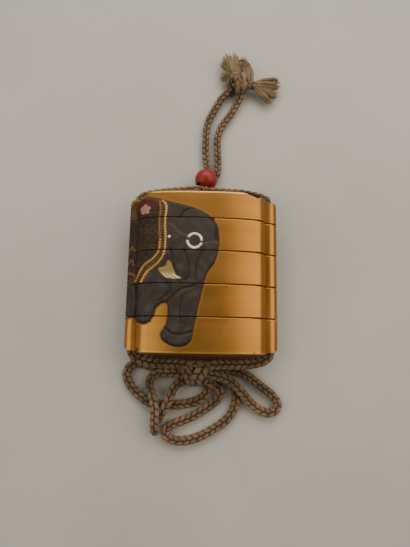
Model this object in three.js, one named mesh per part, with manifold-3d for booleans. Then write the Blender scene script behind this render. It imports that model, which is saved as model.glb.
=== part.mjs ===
// A four-case inro: a small stacked box of gold lacquer with a low-relief elephant that
// walks round its left side, the silk cord that runs through its side ribs, a bead on
// the cord, and the cord's knots and frayed ends.
//
// Frame, in millimetres: the case lies on its back. +X is the case's right, +Y runs
// towards the lid, +Z up through the front. The origin is under the middle of the case.

import * as THREE from 'three';
import { mergeVertices } from 'three/addons/utils/BufferGeometryUtils.js';
import Module from 'manifold-3d';

const wasm = await Module();
wasm.setup();

// ---- Driving dimensions -------------------------------------------------------------

const FRONT_LIFT = 0.8; // how far the elephant stands out of the front
const BACK_LIFT = 0.6; // and out of the back, where the case rests
const HALF_THICK = 11; // half the thickness of the plain case
const MID_Z = HALF_THICK + BACK_LIFT; // height of the case's middle plane

const CROWN_FLAT = 6; // half-width of the flat strip along the crown
const CROWN_FALL = 0.006; // how fast the crown falls off beside that strip
const SHOULDER_X = 22.5; // where the crown turns into the rounded shoulder
const SHOULDER_PULL = [27.8, 8.4]; // the corner that the shoulder's curve bends towards
const GROOVE = [28.6, 3.2]; // bottom of the groove between shoulder and cord rib
const RIB_X = 30.3; // axis of each cord rib and of the channel in it
const RIB_R = 3.7;

const RIM_Y = 35.2; // the arris where the faces meet the domed ends
const DOME_RISE = 3; // how far each domed end stands beyond that arris
const DOME_SCALES = [1, 0.95, 0.82, 0.6, 0.3]; // rings of each dome, as shares of the section

const SEAMS_Y = [23.3, 8.6, -6.0, -20.2]; // between the lid and the four cases, top down
const SEAM_GAP = 0.35;

const SKIRT_WALL = 1.1; // wall outside a riser
const RISER_GAP = 0.3; // clearance between a riser and the case above it
const RISER_WALL = 1.1;
const RISER_HEIGHT = 3;
const FLOOR = 1.6; // thickness of each case's floor
const LID_ROOF_Y = 32.6; // underside of the lid's roof
const BASE_FLOOR_Y = -33.4; // top of the lowest case's floor

const CORD_R = 1.95;
const CORD_GAP = 0.3; // clearance of the cord in its channels
const CHANNEL_R = CORD_R + CORD_GAP;
const BEAD_R = 5.4;
const BEAD_HOLE_R = 1.9;
const BEAD_CENTRE = [0.9, 47.7, 5.5];
const BEAD_AXIS = [0.55, 0.75, -0.35];

// ---- Solids and cuts ----------------------------------------------------------------

function toSolid(geometry) {
  const bare = geometry.index ? geometry.toNonIndexed() : geometry.clone();
  bare.deleteAttribute('normal');
  bare.deleteAttribute('uv');
  const merged = mergeVertices(bare, 1e-4);
  return new wasm.Manifold(new wasm.Mesh({
    numProp: 3,
    vertProperties: new Float32Array(merged.attributes.position.array),
    triVerts: new Uint32Array(merged.index.array),
  }));
}

function toGeometry(solid) {
  const mesh = solid.getMesh();
  const geometry = new THREE.BufferGeometry();
  geometry.setAttribute('position', new THREE.BufferAttribute(new Float32Array(mesh.vertProperties), 3));
  geometry.setIndex(new THREE.BufferAttribute(new Uint32Array(mesh.triVerts), 1));
  return geometry;
}

// Extrudes a list of [x, height over the middle plane] points along Y.
function alongY(profile, fromY, toY) {
  const shape = new THREE.Shape(profile.map(([x, h]) => new THREE.Vector2(x, -h)));
  const geometry = new THREE.ExtrudeGeometry(shape, { depth: toY - fromY, bevelEnabled: false });
  geometry.rotateX(-Math.PI / 2);
  geometry.translate(0, fromY, MID_Z);
  return toSolid(geometry);
}

// Extrudes an outline seen from the front between two heights.
function alongZ(shape, fromZ, toZ, curveSegments = 3) {
  const settings = { depth: toZ - fromZ, bevelEnabled: false, curveSegments };
  const geometry = new THREE.ExtrudeGeometry(shape, settings);
  geometry.translate(0, 0, fromZ);
  return toSolid(geometry);
}

// ---- Cross-sections of the case -----------------------------------------------------

// The outer profile from the crown to the side of the rib, over the middle plane. The
// lift raises it for the relief and dies away over the rib.
function outerQuarter(lift) {
  const points = [];
  const crownSteps = 3;
  for (let i = 0; i <= crownSteps; i += 1) {
    const x = CROWN_FLAT + ((SHOULDER_X - CROWN_FLAT) * i) / crownSteps;
    points.push([x, HALF_THICK + lift - CROWN_FALL * (x - CROWN_FLAT) ** 2]);
  }
  const last = points.pop();
  const groove = [GROOVE[0] + 0.8 * lift, GROOVE[1] + 0.9 * lift];
  const shoulder = new THREE.QuadraticBezierCurve(
    new THREE.Vector2(...last),
    new THREE.Vector2(SHOULDER_PULL[0] + lift, SHOULDER_PULL[1] + lift),
    new THREE.Vector2(...groove),
  );
  for (const p of shoulder.getPoints(5)) {
    points.push([p.x, p.y]);
  }
  const ribStart = lift > 0 ? 70 : 105;
  const ribSteps = 5;
  for (let i = 0; i <= ribSteps; i += 1) {
    const angle = THREE.MathUtils.degToRad(ribStart * (1 - i / ribSteps));
    points.push([RIB_X + RIB_R * Math.cos(angle), RIB_R * Math.sin(angle)]);
  }
  return points;
}

// The plain oblong inside the ribs, drawn in from the outer face by an inset.
function innerQuarter(inset) {
  const top = HALF_THICK - inset;
  const side = GROOVE[0] - 0.5 - inset;
  const shoulderX = SHOULDER_X - 1 - 0.6 * inset;
  const points = [];
  const crownSteps = 2;
  for (let i = 0; i <= crownSteps; i += 1) {
    const x = CROWN_FLAT + ((shoulderX - CROWN_FLAT) * i) / crownSteps;
    points.push([x, top - CROWN_FALL * (x - CROWN_FLAT) ** 2]);
  }
  const last = points.pop();
  const shoulder = new THREE.QuadraticBezierCurve(
    new THREE.Vector2(...last),
    new THREE.Vector2(side, last[1] - 0.6),
    new THREE.Vector2(side, GROOVE[1]),
  );
  for (const p of shoulder.getPoints(4)) {
    points.push([p.x, p.y]);
  }
  return points;
}

// Mirrors a quarter profile into the whole closed section.
function wholeSection(quarter) {
  const onSide = Math.abs(quarter.at(-1)[1]) < 1e-6;
  const lower = quarter.slice(0, onSide ? -1 : quarter.length).reverse().map(([x, h]) => [x, -h]);
  const right = [...quarter, ...lower];
  const left = [...right].reverse().map(([x, h]) => [-x, h]);
  return [...right, ...left];
}

const outerSection = wholeSection(outerQuarter(0));

// The case's whole outer form: the section run straight between the two arrises, then
// shrunk ring by ring into a domed end.
function domedBody() {
  const dome = DOME_SCALES.map((scale) => [RIM_Y + DOME_RISE * Math.sqrt(1 - scale ** 2), scale]);
  const rings = [...dome.map(([y, scale]) => [-y, scale]).reverse(), ...dome];
  const contour = outerSection.map(([x, h]) => new THREE.Vector2(x, h)).reverse();
  const count = contour.length;
  const positions = [];
  for (const [y, scale] of rings) {
    for (const point of contour) {
      positions.push(point.x * scale, y, MID_Z + point.y * scale);
    }
  }
  const index = [];
  for (let r = 0; r < rings.length - 1; r += 1) {
    for (let i = 0; i < count; i += 1) {
      const a = r * count + i;
      const b = r * count + ((i + 1) % count);
      index.push(a, b + count, b);
      index.push(a, a + count, b + count);
    }
  }
  const far = (rings.length - 1) * count;
  for (const [a, b, c] of THREE.ShapeUtils.triangulateShape(contour, [])) {
    index.push(a, b, c);
    index.push(far + a, far + c, far + b);
  }
  const geometry = new THREE.BufferGeometry();
  geometry.setAttribute('position', new THREE.Float32BufferAttribute(positions, 3));
  geometry.setIndex(index);
  return toSolid(geometry);
}

// The outline from the front: flat-topped, with the corners cut back to short ribs.
function frontOutline() {
  const top = [[19, 37.7], [24.3, 35.6], [28.6, 33.5], [31.2, 33.6], [33, 33.1], [34.4, 31.2]];
  const bottom = [[34.4, -32], [33.4, -33.8], [31.4, -34.6], [28.9, -34.5], [26.8, -35.5], [21.5, -37.4]];
  const right = [[8, 39], ...top, ...bottom, [8, -39]];
  const shape = new THREE.Shape();
  shape.moveTo(...right[0]);
  for (const [x, y] of right.slice(1)) {
    shape.lineTo(x, y);
  }
  for (const [x, y] of [...right].reverse()) {
    shape.lineTo(-x, y);
  }
  return shape;
}

// ---- The elephant in relief ---------------------------------------------------------

const spline = (points) => points.map(([x, y]) => new THREE.Vector2(x, y));

// Hindquarters on the front, walking left. The outline leaves the case at its left side.
function hindquarters() {
  const shape = new THREE.Shape();
  shape.moveTo(-36, 27);
  shape.lineTo(-33.2, 29.8);
  // saddle cloth, back and rump
  shape.splineThru(spline([[-31, 32.3], [-21.2, 32.5], [-11, 29.8], [0, 26], [6, 20.4], [7, 12], [5, 3]]));
  // back of the thigh, the standing hind leg and its foot
  shape.splineThru(spline([[1, -5], [-0.9, -13], [-2.9, -23], [-4.3, -30.4]]));
  shape.splineThru(spline([[-6.8, -32.4], [-11.5, -32.5], [-16.6, -29.9], [-17, -27.5]]));
  shape.splineThru(spline([[-15, -24], [-13.3, -18], [-14, -14.2]]));
  // the belly line and the sole of the lifted foot
  shape.splineThru(spline([[-16, -14], [-19.5, -16.6], [-20.4, -20], [-24, -23.3], [-28, -22.4]]));
  shape.lineTo(-29.5, -20.4);
  shape.lineTo(-36, -20.4);
  return shape;
}

// Forequarters on the back, drawn as seen through the case from the front, so that the
// head looks towards +X: back, domed head, hanging trunk, foreleg and lifted foreleg.
function forequarters() {
  const shape = new THREE.Shape();
  shape.moveTo(-36, 27);
  shape.lineTo(-33.2, 29.8);
  shape.splineThru(spline([[-31, 32], [-21, 31.5], [-12, 28.5]]));
  shape.splineThru(spline([[-6, 30.4], [1, 28.6], [5.5, 22], [8.5, 12], [10, 2]]));
  shape.splineThru(spline([[12, -6], [16.5, -8.5], [17.8, -5.2], [20.2, -6.2], [18, -12.5], [11, -12.4], [7, -6]]));
  shape.splineThru(spline([[4.5, 1.5], [0.5, -1], [-1, -8], [-2.5, -22], [-3, -30.4]]));
  shape.splineThru(spline([[-5.5, -32.5], [-11.5, -32.5], [-14.6, -30], [-14, -22], [-14.5, -14.5]]));
  shape.splineThru(spline([[-18.5, -15], [-21, -19.5], [-25, -22.8], [-29, -22]]));
  shape.lineTo(-29.5, -20.4);
  shape.lineTo(-36, -20.4);
  return shape;
}

// A figure is the lifted section cut to its outline, on one side of the middle plane.
function figureRelief(outline, lift, side) {
  const lifted = alongY(wholeSection(outerQuarter(lift)), -RIM_Y, RIM_Y);
  const reach = HALF_THICK + 3;
  const prism = side > 0
    ? alongZ(outline, MID_Z, MID_Z + reach)
    : alongZ(outline, MID_Z - reach, MID_Z);
  return lifted.intersect(prism);
}

// A sliver missing from the lid's edge at its right shoulder.
function lidChip() {
  const shape = new THREE.Shape(spline([[16, 36.4], [24.2, 33.7], [25.4, 34.4], [27, 36.4]]));
  return alongZ(shape, MID_Z + HALF_THICK - 3.2, MID_Z + HALF_THICK + 2);
}

function wholeCase() {
  return domedBody()
    .intersect(alongZ(frontOutline(), -2, MID_Z * 2 + 2))
    .add(figureRelief(hindquarters(), FRONT_LIFT, 1))
    .add(figureRelief(forequarters(), BACK_LIFT, -1))
    .subtract(lidChip());
}

// ---- The lid and the four cases -----------------------------------------------------

function slab(fromY, toY) {
  const geometry = new THREE.BoxGeometry(90, toY - fromY, 60);
  geometry.translate(0, (fromY + toY) / 2, MID_Z);
  return toSolid(geometry);
}

function channels() {
  const bores = [-1, 1].map((side) => {
    const geometry = new THREE.CylinderGeometry(CHANNEL_R, CHANNEL_R, 90, 16);
    geometry.translate(side * RIB_X, 0, MID_Z);
    return toSolid(geometry);
  });
  return bores[0].add(bores[1]);
}

const riserInset = SKIRT_WALL + RISER_GAP;
const hollowInset = riserInset + RISER_WALL;
const recess = (fromY, toY) => alongY(wholeSection(innerQuarter(SKIRT_WALL)), fromY, toY);
const riserBlock = (fromY, toY) => alongY(wholeSection(innerQuarter(riserInset)), fromY, toY);
const hollow = (fromY, toY) => alongY(wholeSection(innerQuarter(hollowInset)), fromY, toY);

// One case: its outer wall, the recess below that takes the riser of the case under it,
// its floor, its hollow, and the riser that stands up into the case above.
function trayBetween(body, bottomY, topY, floorTopY, hasRecess) {
  let tray = body.intersect(slab(bottomY, topY));
  if (hasRecess) {
    tray = tray.subtract(recess(bottomY - 5, bottomY + RISER_HEIGHT + RISER_GAP));
  }
  return tray
    .add(riserBlock(floorTopY, topY + RISER_HEIGHT))
    .subtract(hollow(floorTopY, topY + RISER_HEIGHT + 5));
}

function stackedPieces() {
  const body = wholeCase();
  const bores = channels();
  const half = SEAM_GAP / 2;
  const pieces = [];
  const lid = body.intersect(slab(SEAMS_Y[0] + half, 60)).subtract(recess(0, LID_ROOF_Y));
  pieces.push(['lid', lid.subtract(bores)]);
  for (let i = 0; i < SEAMS_Y.length; i += 1) {
    const lowest = i === SEAMS_Y.length - 1;
    const bottomY = lowest ? -60 : SEAMS_Y[i + 1] + half;
    const floorTopY = lowest ? BASE_FLOOR_Y : bottomY + RISER_HEIGHT + RISER_GAP + FLOOR;
    const tray = trayBetween(body, bottomY, SEAMS_Y[i] - half, floorTopY, !lowest);
    pieces.push([`case_${i + 1}`, tray.subtract(bores)]);
  }
  return pieces;
}

// ---- The cord -----------------------------------------------------------------------

const MOUTH_TOP_Y = 33.2;
const MOUTH_BOTTOM_Y = -34.4;
const CHANNEL_Z = MID_Z;

// Each stretch of the cord: the points it follows, and the number of steps along it.
const CORD_ROUTES = {
  cord_lid_left: [8, [
    [-30.3, 33.5, CHANNEL_Z], [-30.3, 33.9, CHANNEL_Z], [-29.8, 35.5, 11.3], [-28.1, 36.9, 10.9],
    [-25.4, 38, 10.3], [-22, 39, 9.6], [-18, 39.9, 9], [-12, 40.6, 8.6], [-7, 41.4, 8.2], [-3.4, 42.2, 7.8],
  ]],
  cord_lid_right: [8, [
    [30.3, 33.5, CHANNEL_Z], [30.3, 33.9, CHANNEL_Z], [29.8, 35.5, 11.3], [28.1, 36.9, 10.9],
    [25.4, 38, 10.3], [22, 39, 9.6], [18, 39.9, 9], [12, 40.3, 8.7], [6, 40.7, 8.5], [2.6, 41.1, 8.3],
  ]],
  cord_upper_left: [5, [
    [1.7, 54.2, 2.9], [1.2, 57.9, 2.1], [0.6, 62.1, 2.05], [0.4, 67.5, 2.05], [0.5, 72.9, 2.05],
    [0.9, 77.3, 2.05], [1.8, 81.2, 2.05], [3.9, 85.8, 2.05], [5.9, 89.7, 2.05], [8.1, 93.5, 2.1],
    [10.8, 96.6, 2.4],
  ]],
  cord_upper_right: [5, [
    [6.4, 52.3, 2.4], [6.7, 57, 2.05], [6.6, 62.3, 2.05], [6.3, 67.6, 2.05], [6.4, 71.8, 2.05],
    [7.5, 76.4, 2.05], [9.5, 80.2, 2.05], [12, 83.7, 2.05], [14.2, 87.3, 2.05], [16.2, 91.2, 2.05],
    [17.7, 94.9, 2.3],
  ]],
  cord_lower_left: [7, [
    [-30.3, -34.7, CHANNEL_Z], [-30.3, -35.1, CHANNEL_Z], [-29.8, -36.6, 11.3], [-28.2, -38.1, 10.7],
    [-25.6, -39.1, 9.9], [-22, -39.9, 9.2], [-16.5, -40.2, 8.5], [-10.5, -40.3, 8.8], [-6.2, -40.8, 9.8],
  ]],
  cord_lower_right: [7, [
    [30.3, -34.7, CHANNEL_Z], [30.3, -35.1, CHANNEL_Z], [29.8, -36.6, 11.3], [28.2, -38.1, 10.7],
    [25.6, -39.1, 9.9], [22, -39.9, 9.2], [16.5, -40.2, 8.5], [10, -40.3, 8.6], [4.1, -40.8, 9.6],
  ]],
  cord_loop_left: [12, [
    [-7.6, -43.6, 2.5], [-13, -43.5, 2.05], [-18.5, -43, 2.05], [-24, -41.9, 2.05], [-28.6, -40.8, 2.05],
    [-32.2, -42, 2.05], [-33.9, -45.3, 2.05], [-32.7, -49.2, 2.05], [-30.3, -52.4, 2.05],
    [-27, -55.4, 2.05], [-23, -58.1, 2.05], [-18, -59.2, 2.05], [-12, -58.8, 2.05], [-6.2, -58.4, 2.05],
    [-1.2, -57, 2.05], [2.5, -54.3, 2.05], [3.4, -51, 2.1], [2.2, -48.9, 2.6],
  ]],
  cord_loop_narrow: [13, [
    [-7.6, -44.6, 7.2], [-11, -44.6, 6.8], [-15, -44.7, 6.4], [-19, -45, 5.2], [-22.2, -46.8, 3.5],
    [-23.1, -49.9, 3.1], [-22, -53.1, 4.5], [-20.7, -56.2, 6.6], [-20, -59.4, 7.4], [-19.8, -62.6, 7.4],
    [-19.8, -66, 6.9], [-19.8, -68.9, 5.9], [-19.7, -70.2, 3.9], [-19.3, -68.8, 2.1], [-18.8, -66, 2.05],
    [-17.7, -63.4, 3.7], [-15.8, -60.7, 6.2], [-14.4, -57.7, 6.7], [-13.2, -54.6, 6], [-11.7, -51.2, 4.6],
    [-8.6, -48.3, 3.9],
  ]],
  cord_loop_bottom: [13, [
    [4.9, -46.2, 2.4], [8.6, -46.3, 2.05], [12.3, -47.7, 2.05], [15.2, -50.9, 2.05], [16.5, -55, 2.05],
    [15.9, -59.2, 2.05], [14, -62.9, 2.05], [10.9, -66.1, 2.05], [7, -68.8, 2.05], [2.6, -71.3, 2.05],
    [-1.9, -73.3, 2.05], [-6.8, -74.4, 2.05], [-11.6, -74.1, 2.05], [-14.6, -72.4, 2.05],
    [-14.8, -69.7, 2.05], [-12.6, -67.7, 2.05], [-8.8, -66.2, 2.05], [-3.6, -64, 2.05],
    [1, -61.4, 2.05], [5.2, -58.6, 2.05], [8.4, -55.6, 2.05], [9.3, -52.2, 2.05], [6.8, -50, 2.8],
    [4.4, -48.4, 6.2],
  ]],
  cord_loop_right: [11, [
    [5, -42.9, 5.4], [8.5, -42.8, 5], [12.5, -42.9, 4.2], [17, -43.5, 3.1], [21.3, -45.2, 2.3],
    [25.3, -48, 2.05], [29.2, -51, 2.05], [33, -53.9, 2.05], [35.4, -57.2, 2.05], [34.6, -60.4, 2.05],
    [31.4, -61.8, 2.05], [27.4, -60.6, 2.05], [23.6, -57.8, 2.7], [20.5, -54.4, 4.4], [17.6, -51.2, 6],
    [14.3, -48.2, 6.8], [10.2, -46.2, 7.4], [5.4, -45.2, 8],
  ]],
};

function cordSolid(points, steps) {
  const path = new THREE.CatmullRomCurve3(points.map((p) => new THREE.Vector3(...p)), false, 'centripetal');
  const sides = 8;
  const section = new THREE.Shape();
  for (let i = 0; i < sides; i += 1) {
    const angle = ((i + 0.5) / sides) * 2 * Math.PI;
    const corner = [CORD_R * Math.cos(angle), CORD_R * Math.sin(angle)];
    if (i === 0) {
      section.moveTo(...corner);
    } else {
      section.lineTo(...corner);
    }
  }
  return toSolid(new THREE.ExtrudeGeometry(section, { steps, extrudePath: path }));
}

function cordPieces() {
  const pieces = [];
  for (const side of [-1, 1]) {
    const name = side < 0 ? 'cord_channel_left' : 'cord_channel_right';
    const ends = [[side * RIB_X, MOUTH_TOP_Y, CHANNEL_Z], [side * RIB_X, MOUTH_BOTTOM_Y, CHANNEL_Z]];
    pieces.push([name, cordSolid(ends, 1)]);
  }
  for (const [name, [steps, points]] of Object.entries(CORD_ROUTES)) {
    pieces.push([name, cordSolid(points, steps)]);
  }
  return pieces;
}

// ---- Bead, knots and frayed ends ----------------------------------------------------

function turnedTo(geometry, axis, centre) {
  const direction = new THREE.Vector3(...axis).normalize();
  const turn = new THREE.Quaternion().setFromUnitVectors(new THREE.Vector3(0, 1, 0), direction);
  geometry.applyQuaternion(turn);
  geometry.translate(...centre);
  return geometry;
}

function bead() {
  const profile = [];
  const startAngle = Math.asin(BEAD_HOLE_R / BEAD_R);
  const steps = 10;
  for (let i = 0; i <= steps; i += 1) {
    const angle = startAngle + ((Math.PI - 2 * startAngle) * i) / steps;
    profile.push(new THREE.Vector2(BEAD_R * Math.sin(angle), -BEAD_R * Math.cos(angle)));
  }
  profile.push(profile[0].clone());
  return toSolid(turnedTo(new THREE.LatheGeometry(profile, 20), BEAD_AXIS, BEAD_CENTRE));
}

// A knot's lump: a soft-cornered block, turned in plan, with one wrap of cord round it.
function knot(centre, halfSizes, turnDegrees, wrapX, wrapR) {
  const lump = new THREE.SphereGeometry(1, 14, 10);
  const place = lump.attributes.position;
  const soften = (v) => Math.sign(v) * Math.abs(v) ** 0.8;
  for (let i = 0; i < place.count; i += 1) {
    place.setXYZ(
      i,
      soften(place.getX(i)) * halfSizes[0],
      soften(place.getY(i)) * halfSizes[1],
      soften(place.getZ(i)) * halfSizes[2],
    );
  }
  const wrap = new THREE.TorusGeometry(1, 0.2, 6, 18);
  wrap.rotateY(Math.PI / 2);
  wrap.scale(wrapR / 0.2, halfSizes[1] * 0.88, halfSizes[2] * 0.84);
  wrap.rotateY(0.25);
  wrap.translate(wrapX, 0, 0);
  const turn = THREE.MathUtils.degToRad(turnDegrees);
  for (const geometry of [lump, wrap]) {
    geometry.rotateZ(turn);
    geometry.translate(...centre);
  }
  return toSolid(lump).add(toSolid(wrap));
}

// A frayed end: a bound stub that opens into a flattened brush.
function tuft(start, direction, length, stubR, endR, flatness) {
  const profile = [
    [0, 0], [stubR, 0], [stubR * 1.1, length * 0.25], [endR * 0.72, length * 0.55],
    [endR, length * 0.86], [endR * 0.9, length * 0.96], [endR * 0.45, length], [0, length * 0.97],
  ].map(([r, y]) => new THREE.Vector2(r, y));
  const geometry = new THREE.LatheGeometry(profile, 14);
  geometry.scale(1, 1, flatness);
  return toSolid(turnedTo(geometry, direction, start));
}

const BOW_KNOT = { centre: [-1.3, -44.2, 5.6], half: [5.2, 4.4, 5.1] };
const TOP_KNOT = { centre: [16.9, 100.4, 4.3], half: [5.4, 4.1, 4.1] };

// ---- The whole object ---------------------------------------------------------------

const lacquer = { color: 0xb8863f, roughness: 0.35, metalness: 0.6 };
const silk = { color: 0x8a6f47, roughness: 0.9, metalness: 0 };
const coral = { color: 0xb02818, roughness: 0.3, metalness: 0 };

const inro = new THREE.Group();

function addPiece(name, solid, finish) {
  const mesh = new THREE.Mesh(toGeometry(solid), new THREE.MeshStandardMaterial(finish));
  mesh.name = name;
  inro.add(mesh);
}

for (const [name, solid] of stackedPieces()) {
  addPiece(name, solid, lacquer);
}
for (const [name, solid] of cordPieces()) {
  addPiece(name, solid, silk);
}
addPiece('bead', bead(), coral);
addPiece('bow_knot', knot(BOW_KNOT.centre, BOW_KNOT.half, 12, 0.6, 1.9), silk);
addPiece('top_knot', knot(TOP_KNOT.centre, TOP_KNOT.half, -20, 0.3, 1.9), silk);
addPiece('tuft_upper', tuft([15, 105, 4.4], [-0.02, 1, 0.02], 12.4, 2.2, 7, 0.5), silk);
addPiece('tuft_right', tuft([22.6, 98.9, 4], [1, -0.22, -0.06], 14.2, 1.9, 6.2, 0.45), silk);

export default inro;
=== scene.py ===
# %% [markdown]
# # A lacquer inro with its cord and bead
#
# An inro is a small stack of lacquered boxes that hung from a sash. One silk cord runs up
# through channels in both sides, over the lid and through a bead, which slides down to
# hold the stack shut. Here it lies on its back, with the cord loose on the table.
#
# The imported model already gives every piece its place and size. This script dresses it:
# first the camera, the light and the cord, then the bead and the knots, then the lacquer.

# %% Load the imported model
import math

import bmesh
import bpy
import numpy as np
from mathutils import Matrix, Vector


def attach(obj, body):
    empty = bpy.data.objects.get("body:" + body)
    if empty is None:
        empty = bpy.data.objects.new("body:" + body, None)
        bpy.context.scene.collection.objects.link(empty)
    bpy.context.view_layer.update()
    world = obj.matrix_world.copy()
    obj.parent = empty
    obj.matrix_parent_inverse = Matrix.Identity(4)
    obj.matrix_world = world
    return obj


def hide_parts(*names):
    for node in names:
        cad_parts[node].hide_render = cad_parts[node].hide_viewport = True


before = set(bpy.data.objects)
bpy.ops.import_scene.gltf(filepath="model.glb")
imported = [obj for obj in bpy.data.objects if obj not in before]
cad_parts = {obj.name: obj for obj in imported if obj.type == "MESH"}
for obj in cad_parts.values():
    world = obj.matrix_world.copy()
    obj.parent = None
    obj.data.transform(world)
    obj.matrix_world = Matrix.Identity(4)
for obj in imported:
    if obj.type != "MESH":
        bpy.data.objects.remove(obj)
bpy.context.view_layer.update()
MM = 0.001
print("nodes in the frame:", len(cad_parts))

# %% [markdown]
# ## Camera
#
# The view is from straight above and a little towards the cord's bow, from about two
# hand spans away, so the ends of the case taper very slightly. The camera is set by its
# place and three small turns instead of a tracking constraint, which would be one more
# object to keep in step.

# %% Camera
def make_camera():
    data = bpy.data.cameras.new("camera")
    data.sensor_width = 36
    data.lens = 27.82
    camera = bpy.data.objects.new("camera", data)
    camera.location = (0.0002, -0.0321, 0.2019)
    camera.rotation_euler = [math.radians(turn) for turn in (9.657, -0.5, 1.079)]
    bpy.context.scene.collection.objects.link(camera)
    return camera


bpy.context.scene.camera = make_camera()
print("camera height in metres:", bpy.context.scene.camera.location.z)

# %% [markdown]
# ## Helpers for node materials
#
# Every finish below is a small network of noise textures and colour mixes. Two helpers
# keep them short: one adds a node and fills its inputs, the other turns a colour as
# people name it, three numbers up to 255, into the linear values that shaders work in.

# %% Node helpers
def linear(red, green, blue):
    shares = [value / 255 for value in (red, green, blue)]
    return [s / 12.92 if s <= 0.04045 else ((s + 0.055) / 1.055) ** 2.4 for s in shares] + [1.0]


def add_node(tree, kind, inputs=None, **settings):
    """Adds a node, with each input given as a plain value or as another node's output."""
    node = tree.nodes.new(kind)
    for name, value in settings.items():
        setattr(node, name, value)
    for name, value in (inputs or {}).items():
        if isinstance(value, bpy.types.NodeSocket):
            tree.links.new(value, node.inputs[name])
        else:
            node.inputs[name].default_value = value
    return node


def mix_colour(tree, share, first, second):
    inputs = {0: share, 6: first, 7: second}
    return add_node(tree, "ShaderNodeMix", inputs, data_type="RGBA").outputs[2]


def calculate(tree, operation, first, second=0.0):
    return add_node(tree, "ShaderNodeMath", {0: first, 1: second}, operation=operation).outputs[0]


def remembered(tree, name):
    """A number that the mesh stores at each of its points."""
    return add_node(tree, "ShaderNodeAttribute", attribute_name=name).outputs["Fac"]


def spread(tree, value, low, high, out_low=0.0, out_high=1.0):
    inputs = {"Value": value, "From Min": low, "From Max": high, "To Min": out_low, "To Max": out_high}
    return add_node(tree, "ShaderNodeMapRange", inputs).outputs["Result"]


def new_material(name, **constants):
    material = bpy.data.materials.new(name)
    material.use_nodes = True
    shader = material.node_tree.nodes["Principled BSDF"]
    for socket, value in constants.items():
        shader.inputs[socket.replace("_", " ")].default_value = value
    return material, material.node_tree, shader


def finish_surface(tree, shader, colour, height, strength, distance):
    """Gives a material its colour and its fine bumps."""
    bump = add_node(tree, "ShaderNodeBump", {"Strength": strength, "Distance": distance, "Height": height})
    tree.links.new(bump.outputs[0], shader.inputs["Normal"])
    tree.links.new(colour, shader.inputs["Base Color"])


# %% [markdown]
# ## Mottling, shared by every finish
#
# Nothing on an old object has one even colour: lacquer, silk and coral all carry clouds of
# slight darkening. The three finishes use the same effect with their own scale, so it is
# built once as a node group. A painted image could do it too, but a noise needs no
# unwrapping and holds up in a close view.

# %% Mottling node group
def make_mottling():
    group = bpy.data.node_groups.new("mottling", "ShaderNodeTree")
    for name, kind, direction, default in (
        ("Scale", "NodeSocketFloat", "INPUT", 100.0),
        ("Stretch", "NodeSocketVector", "INPUT", (1.0, 1.0, 1.0)),
        ("Clouds", "NodeSocketFloat", "OUTPUT", None),
        ("Grain", "NodeSocketFloat", "OUTPUT", None),
    ):
        socket = group.interface.new_socket(name=name, in_out=direction, socket_type=kind)
        if default is not None:
            socket.default_value = default
    given = group.nodes.new("NodeGroupInput")
    result = group.nodes.new("NodeGroupOutput")
    place = add_node(group, "ShaderNodeTexCoord").outputs["Object"]
    stretched = add_node(group, "ShaderNodeVectorMath", operation="MULTIPLY")
    group.links.new(place, stretched.inputs[0])
    group.links.new(given.outputs["Stretch"], stretched.inputs[1])
    coarse = given.outputs["Scale"]
    inputs = {"Vector": stretched.outputs[0], "Scale": coarse, "Detail": 5.0, "Roughness": 0.6}
    clouds = add_node(group, "ShaderNodeTexNoise", inputs).outputs[0]
    finer = calculate(group, "MULTIPLY", coarse, 9.0)
    inputs = {"Vector": stretched.outputs[0], "Scale": finer, "Detail": 3.0, "Roughness": 0.7}
    grain = add_node(group, "ShaderNodeTexNoise", inputs).outputs[0]
    group.links.new(spread(group, clouds, 0.32, 0.68), result.inputs["Clouds"])
    group.links.new(spread(group, grain, 0.3, 0.7), result.inputs["Grain"])
    return group


MOTTLING = make_mottling()


def mottle(tree, scale, stretch=(1.0, 1.0, 1.0)):
    node = add_node(tree, "ShaderNodeGroup", node_tree=MOTTLING)
    node.inputs["Scale"].default_value = scale
    node.inputs["Stretch"].default_value = stretch
    return node.outputs["Clouds"], node.outputs["Grain"]


print("shared effects:", [group.name for group in bpy.data.node_groups])

# %% [markdown]
# ## Table and light
#
# The table is one big pale plane. The light is soft: a pale surround, and large lamps to
# the left, the right and beyond the lid. None hangs over the case, so the flat crown,
# which mirrors what is straight above it, keeps a darker band than the shoulders.

# %% Table and light
def make_table():
    mesh = bmesh.new()
    bmesh.ops.create_grid(mesh, x_segments=1, y_segments=1, size=1.5)
    data = bpy.data.meshes.new("table")
    mesh.to_mesh(data)
    mesh.free()
    table = bpy.data.objects.new("table", data)
    bpy.context.scene.collection.objects.link(table)
    material, tree, shader = new_material("table", Roughness=0.75, Specular_IOR_Level=0.2)
    clouds, _ = mottle(tree, 9.0)
    colour = mix_colour(tree, clouds, linear(154, 147, 135), linear(162, 155, 144))
    tree.links.new(colour, shader.inputs["Base Color"])
    data.materials.append(material)


def make_lamp(name, place, size, energy, colour):
    data = bpy.data.lights.new(name, "AREA")
    data.shape = "RECTANGLE"
    data.size, data.size_y = size
    data.energy = energy
    data.color = colour
    lamp = bpy.data.objects.new(name, data)
    lamp.location = place
    lamp.rotation_euler = (-Vector(place)).to_track_quat("-Z", "Y").to_euler()
    bpy.context.scene.collection.objects.link(lamp)


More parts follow.
